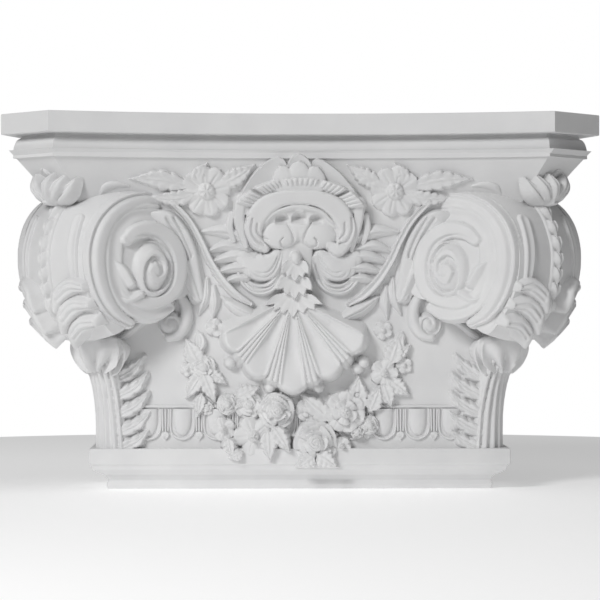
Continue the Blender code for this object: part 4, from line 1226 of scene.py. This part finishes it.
# The bead over the band: its height over it, half-width and crown, and where it ends
BEAD_RISE, BEAD_HALF, BEAD_CROWN = 2.4, 1.8, 2.2
BEAD_ENDS = ((12.0 - BELL_HALF, BELL_HALF - 12.0), (1.0, BELL_DEPTH - 14.0))


def lay_egg(band, spot, u):
    frame_path = [(u + share * FRAME_HALF, EGG_LOW + rise, half) for share, rise, half in EGG_FRAME]
    band.ribbon(spot, frame_path, FRAME_CROWN, mirror=True)
    t = np.linspace(0.0, 1.0, EGG_ROWS)[:, None]
    s = np.linspace(-1.0, 1.0, EGG_COLUMNS)[None]
    half = EGG_HALF * closing(t, 0.35, 0.66, 2.2)
    h = EGG_CROWN * np.sqrt(1 - 0.97 * s**2) * closing(t, 0.3, 0.71, 3)
    band.lay(spot, u + half * s, EGG_TOP - (EGG_TALL - EGG_GAP) * t, h, mirror=True)


def lay_dart(band, spot, u, mirror):
    for offset in DART_REEDS:
        reed = [(u + offset, EGG_TOP, 1.3), (u + 0.8 * offset, EGG_LOW + 9, 1.2)]
        band.ribbon(spot, reed, DART_CROWN, mirror=mirror)
    husk = [(u, EGG_LOW + rise, half, lift) for rise, half, lift in DART_HUSK]
    band.husk(spot, husk, DART_CROWN, mirror=mirror)


def make_eggs(material):
    """Egg-and-dart along the front and both sides."""
    band = Carving("egg_and_dart", RIBBED)
    for k in range(EGG_COUNT):
        lay_egg(band, on_foot, -(k + 0.5) * EGG_PITCH)
        lay_dart(band, on_foot, -k * EGG_PITCH, mirror=k > 0)
    lay_egg(band, on_side, SIDE_EGG * BELL_DEPTH)
    lay_dart(band, on_side, SIDE_EGG * BELL_DEPTH + EGG_PITCH / 2, mirror=True)
    for spot, (first, last) in zip((on_foot, on_side), BEAD_ENDS):
        bead = [(u, EGG_TOP + BEAD_RISE, BEAD_HALF) for u in (first, (first + last) / 2, last)]
        band.ribbon(spot, bead, BEAD_CROWN, mirror=spot is on_side)
    band.finish(material)


# The primer's two tints, its range of roughness, and its noises as scale and detail
DARK_TINT = (0.74, 0.74, 0.745, 1.0)
PALE_TINT = (0.80, 0.80, 0.80, 1.0)
ROUGHNESS = (0.5, 0.66)
MOTTLING = (18.0, 4.0)
SHEEN = (60.0, 3.0)
STIPPLE = (420.0, 3.0)
STIPPLE_DEPTH = 0.0006
STIPPLE_STRENGTH = 0.12


def primed_casting():
    """Smooth white primer over cast foam: faint mottling, fine stipple and soft sheen."""
    material = bpy.data.materials.new("primed_casting")
    material.use_nodes = True
    nodes, links = material.node_tree.nodes, material.node_tree.links
    shader = nodes["Principled BSDF"]
    place = nodes.new("ShaderNodeTexCoord")

    def noise_at(scale, detail):
        texture = nodes.new("ShaderNodeTexNoise")
        texture.inputs["Scale"].default_value = scale
        texture.inputs["Detail"].default_value = detail
        links.new(place.outputs["Object"], texture.inputs["Vector"])
        return texture.outputs["Fac"]

    tint = nodes.new("ShaderNodeValToRGB")
    for stop, place_on_ramp, colour in zip(tint.color_ramp.elements, (0.3, 0.7), (DARK_TINT, PALE_TINT)):
        stop.position = place_on_ramp
        stop.color = colour
    links.new(noise_at(*MOTTLING), tint.inputs["Fac"])
    links.new(tint.outputs["Color"], shader.inputs["Base Color"])
    spread = nodes.new("ShaderNodeMapRange")
    spread.inputs["To Min"].default_value = ROUGHNESS[0]
    spread.inputs["To Max"].default_value = ROUGHNESS[1]
    links.new(noise_at(*SHEEN), spread.inputs["Value"])
    links.new(spread.outputs["Result"], shader.inputs["Roughness"])
    bump = nodes.new("ShaderNodeBump")
    bump.inputs["Strength"].default_value = STIPPLE_STRENGTH
    bump.inputs["Distance"].default_value = STIPPLE_DEPTH
    links.new(noise_at(*STIPPLE), bump.inputs["Height"])
    links.new(bump.outputs["Normal"], shader.inputs["Normal"])
    return material


# Camera: its place, its focal length in the photograph's pixels, the photograph's width and the sensor's
CAMERA_SIDE = -50.0
CAMERA_OUT = 2450.0
CAMERA_HEIGHT = 200.0
FOCAL = 2224.0
IMAGE = 600.0
SENSOR = 36.0

# Studio, in metres and watts: each lamp's name, place, size and power
WORLD_LIGHT = 0.17
LAMPS = (("key", (-1.2, -1.8, 1.3), 0.6, 27.0), ("top", (0.5, -0.9, 2.2), 1.2, 6.0))
LAMP_TARGET = (0.0, 0.0, 0.2)
FLOOR_RADIUS = 1.0
FLOOR_SIDES = 96
FLOOR_COLOUR = (0.92, 0.92, 0.92, 1.0)
FLOOR_ROUGHNESS = 0.9
FLOOR_GLOW = 0.3
WHITE = (1.0, 1.0, 1.0, 1.0)


def make_camera():
    data = bpy.data.cameras.new("camera")
    data.sensor_width = SENSOR
    data.lens = FOCAL * SENSOR / IMAGE
    camera = bpy.data.objects.new("camera", data)
    camera.location = (CAMERA_SIDE * MM, HIGH.y - CAMERA_OUT * MM, CAMERA_HEIGHT * MM)
    target = Vector((0.0, HIGH.y - 0.5 * DEPTH * MM, CAMERA_HEIGHT * MM))
    camera.rotation_euler = (target - camera.location).to_track_quat("-Z", "Y").to_euler()
    bpy.context.scene.collection.objects.link(camera)
    bpy.context.scene.camera = camera


def make_lamp(name, place, size, power):
    data = bpy.data.lights.new(name, "AREA")
    data.size = size
    data.energy = power
    light = bpy.data.objects.new(name, data)
    light.location = place
    light.rotation_euler = (Vector(LAMP_TARGET) - Vector(place)).to_track_quat("-Z", "Y").to_euler()
    bpy.context.scene.collection.objects.link(light)


def make_floor():
    """A round pale floor that glows a little, so that it stays as light as the ground behind it."""
    mesh = bpy.data.meshes.new("floor")
    around = [2 * math.pi * k / FLOOR_SIDES for k in range(FLOOR_SIDES)]
    rim = [(FLOOR_RADIUS * math.cos(a), FLOOR_RADIUS * math.sin(a), 0.0) for a in around]
    mesh.from_pydata(rim, [], [list(range(len(rim)))])
    material = bpy.data.materials.new("pale_floor")
    material.use_nodes = True
    shader = material.node_tree.nodes["Principled BSDF"]
    shader.inputs["Base Color"].default_value = FLOOR_COLOUR
    shader.inputs["Roughness"].default_value = FLOOR_ROUGHNESS
    shader.inputs["Emission Color"].default_value = WHITE
    shader.inputs["Emission Strength"].default_value = FLOOR_GLOW
    mesh.materials.append(material)
    floor = bpy.data.objects.new("floor", mesh)
    bpy.context.scene.collection.objects.link(floor)


def make_studio():
    """White to the camera, and dimmer as a light, so that the lamps shape the carving."""
    world = bpy.data.worlds.new("studio")
    world.use_nodes = True
    nodes, links = world.node_tree.nodes, world.node_tree.links
    seen = nodes.new("ShaderNodeLightPath")
    strength = nodes.new("ShaderNodeMapRange")
    strength.inputs["To Min"].default_value = WORLD_LIGHT
    strength.inputs["To Max"].default_value = 1.0
    links.new(seen.outputs["Is Camera Ray"], strength.inputs["Value"])
    links.new(strength.outputs["Result"], nodes["Background"].inputs["Strength"])
    nodes["Background"].inputs["Color"].default_value = WHITE
    bpy.context.scene.world = world
    bpy.context.scene.view_settings.view_transform = "Standard"
    for lamp in LAMPS:
        make_lamp(*lamp)
    make_floor()


def main():
    casting = primed_casting()
    for make in (
        make_abacus, make_bell, make_foot, make_scroll_blocks, make_scroll_faces, make_rims, make_stems,
        make_corner_leaves, make_clusters, make_cartouche, make_garland, make_eggs,
    ):
        make(casting)
    make_camera()
    make_studio()


main()
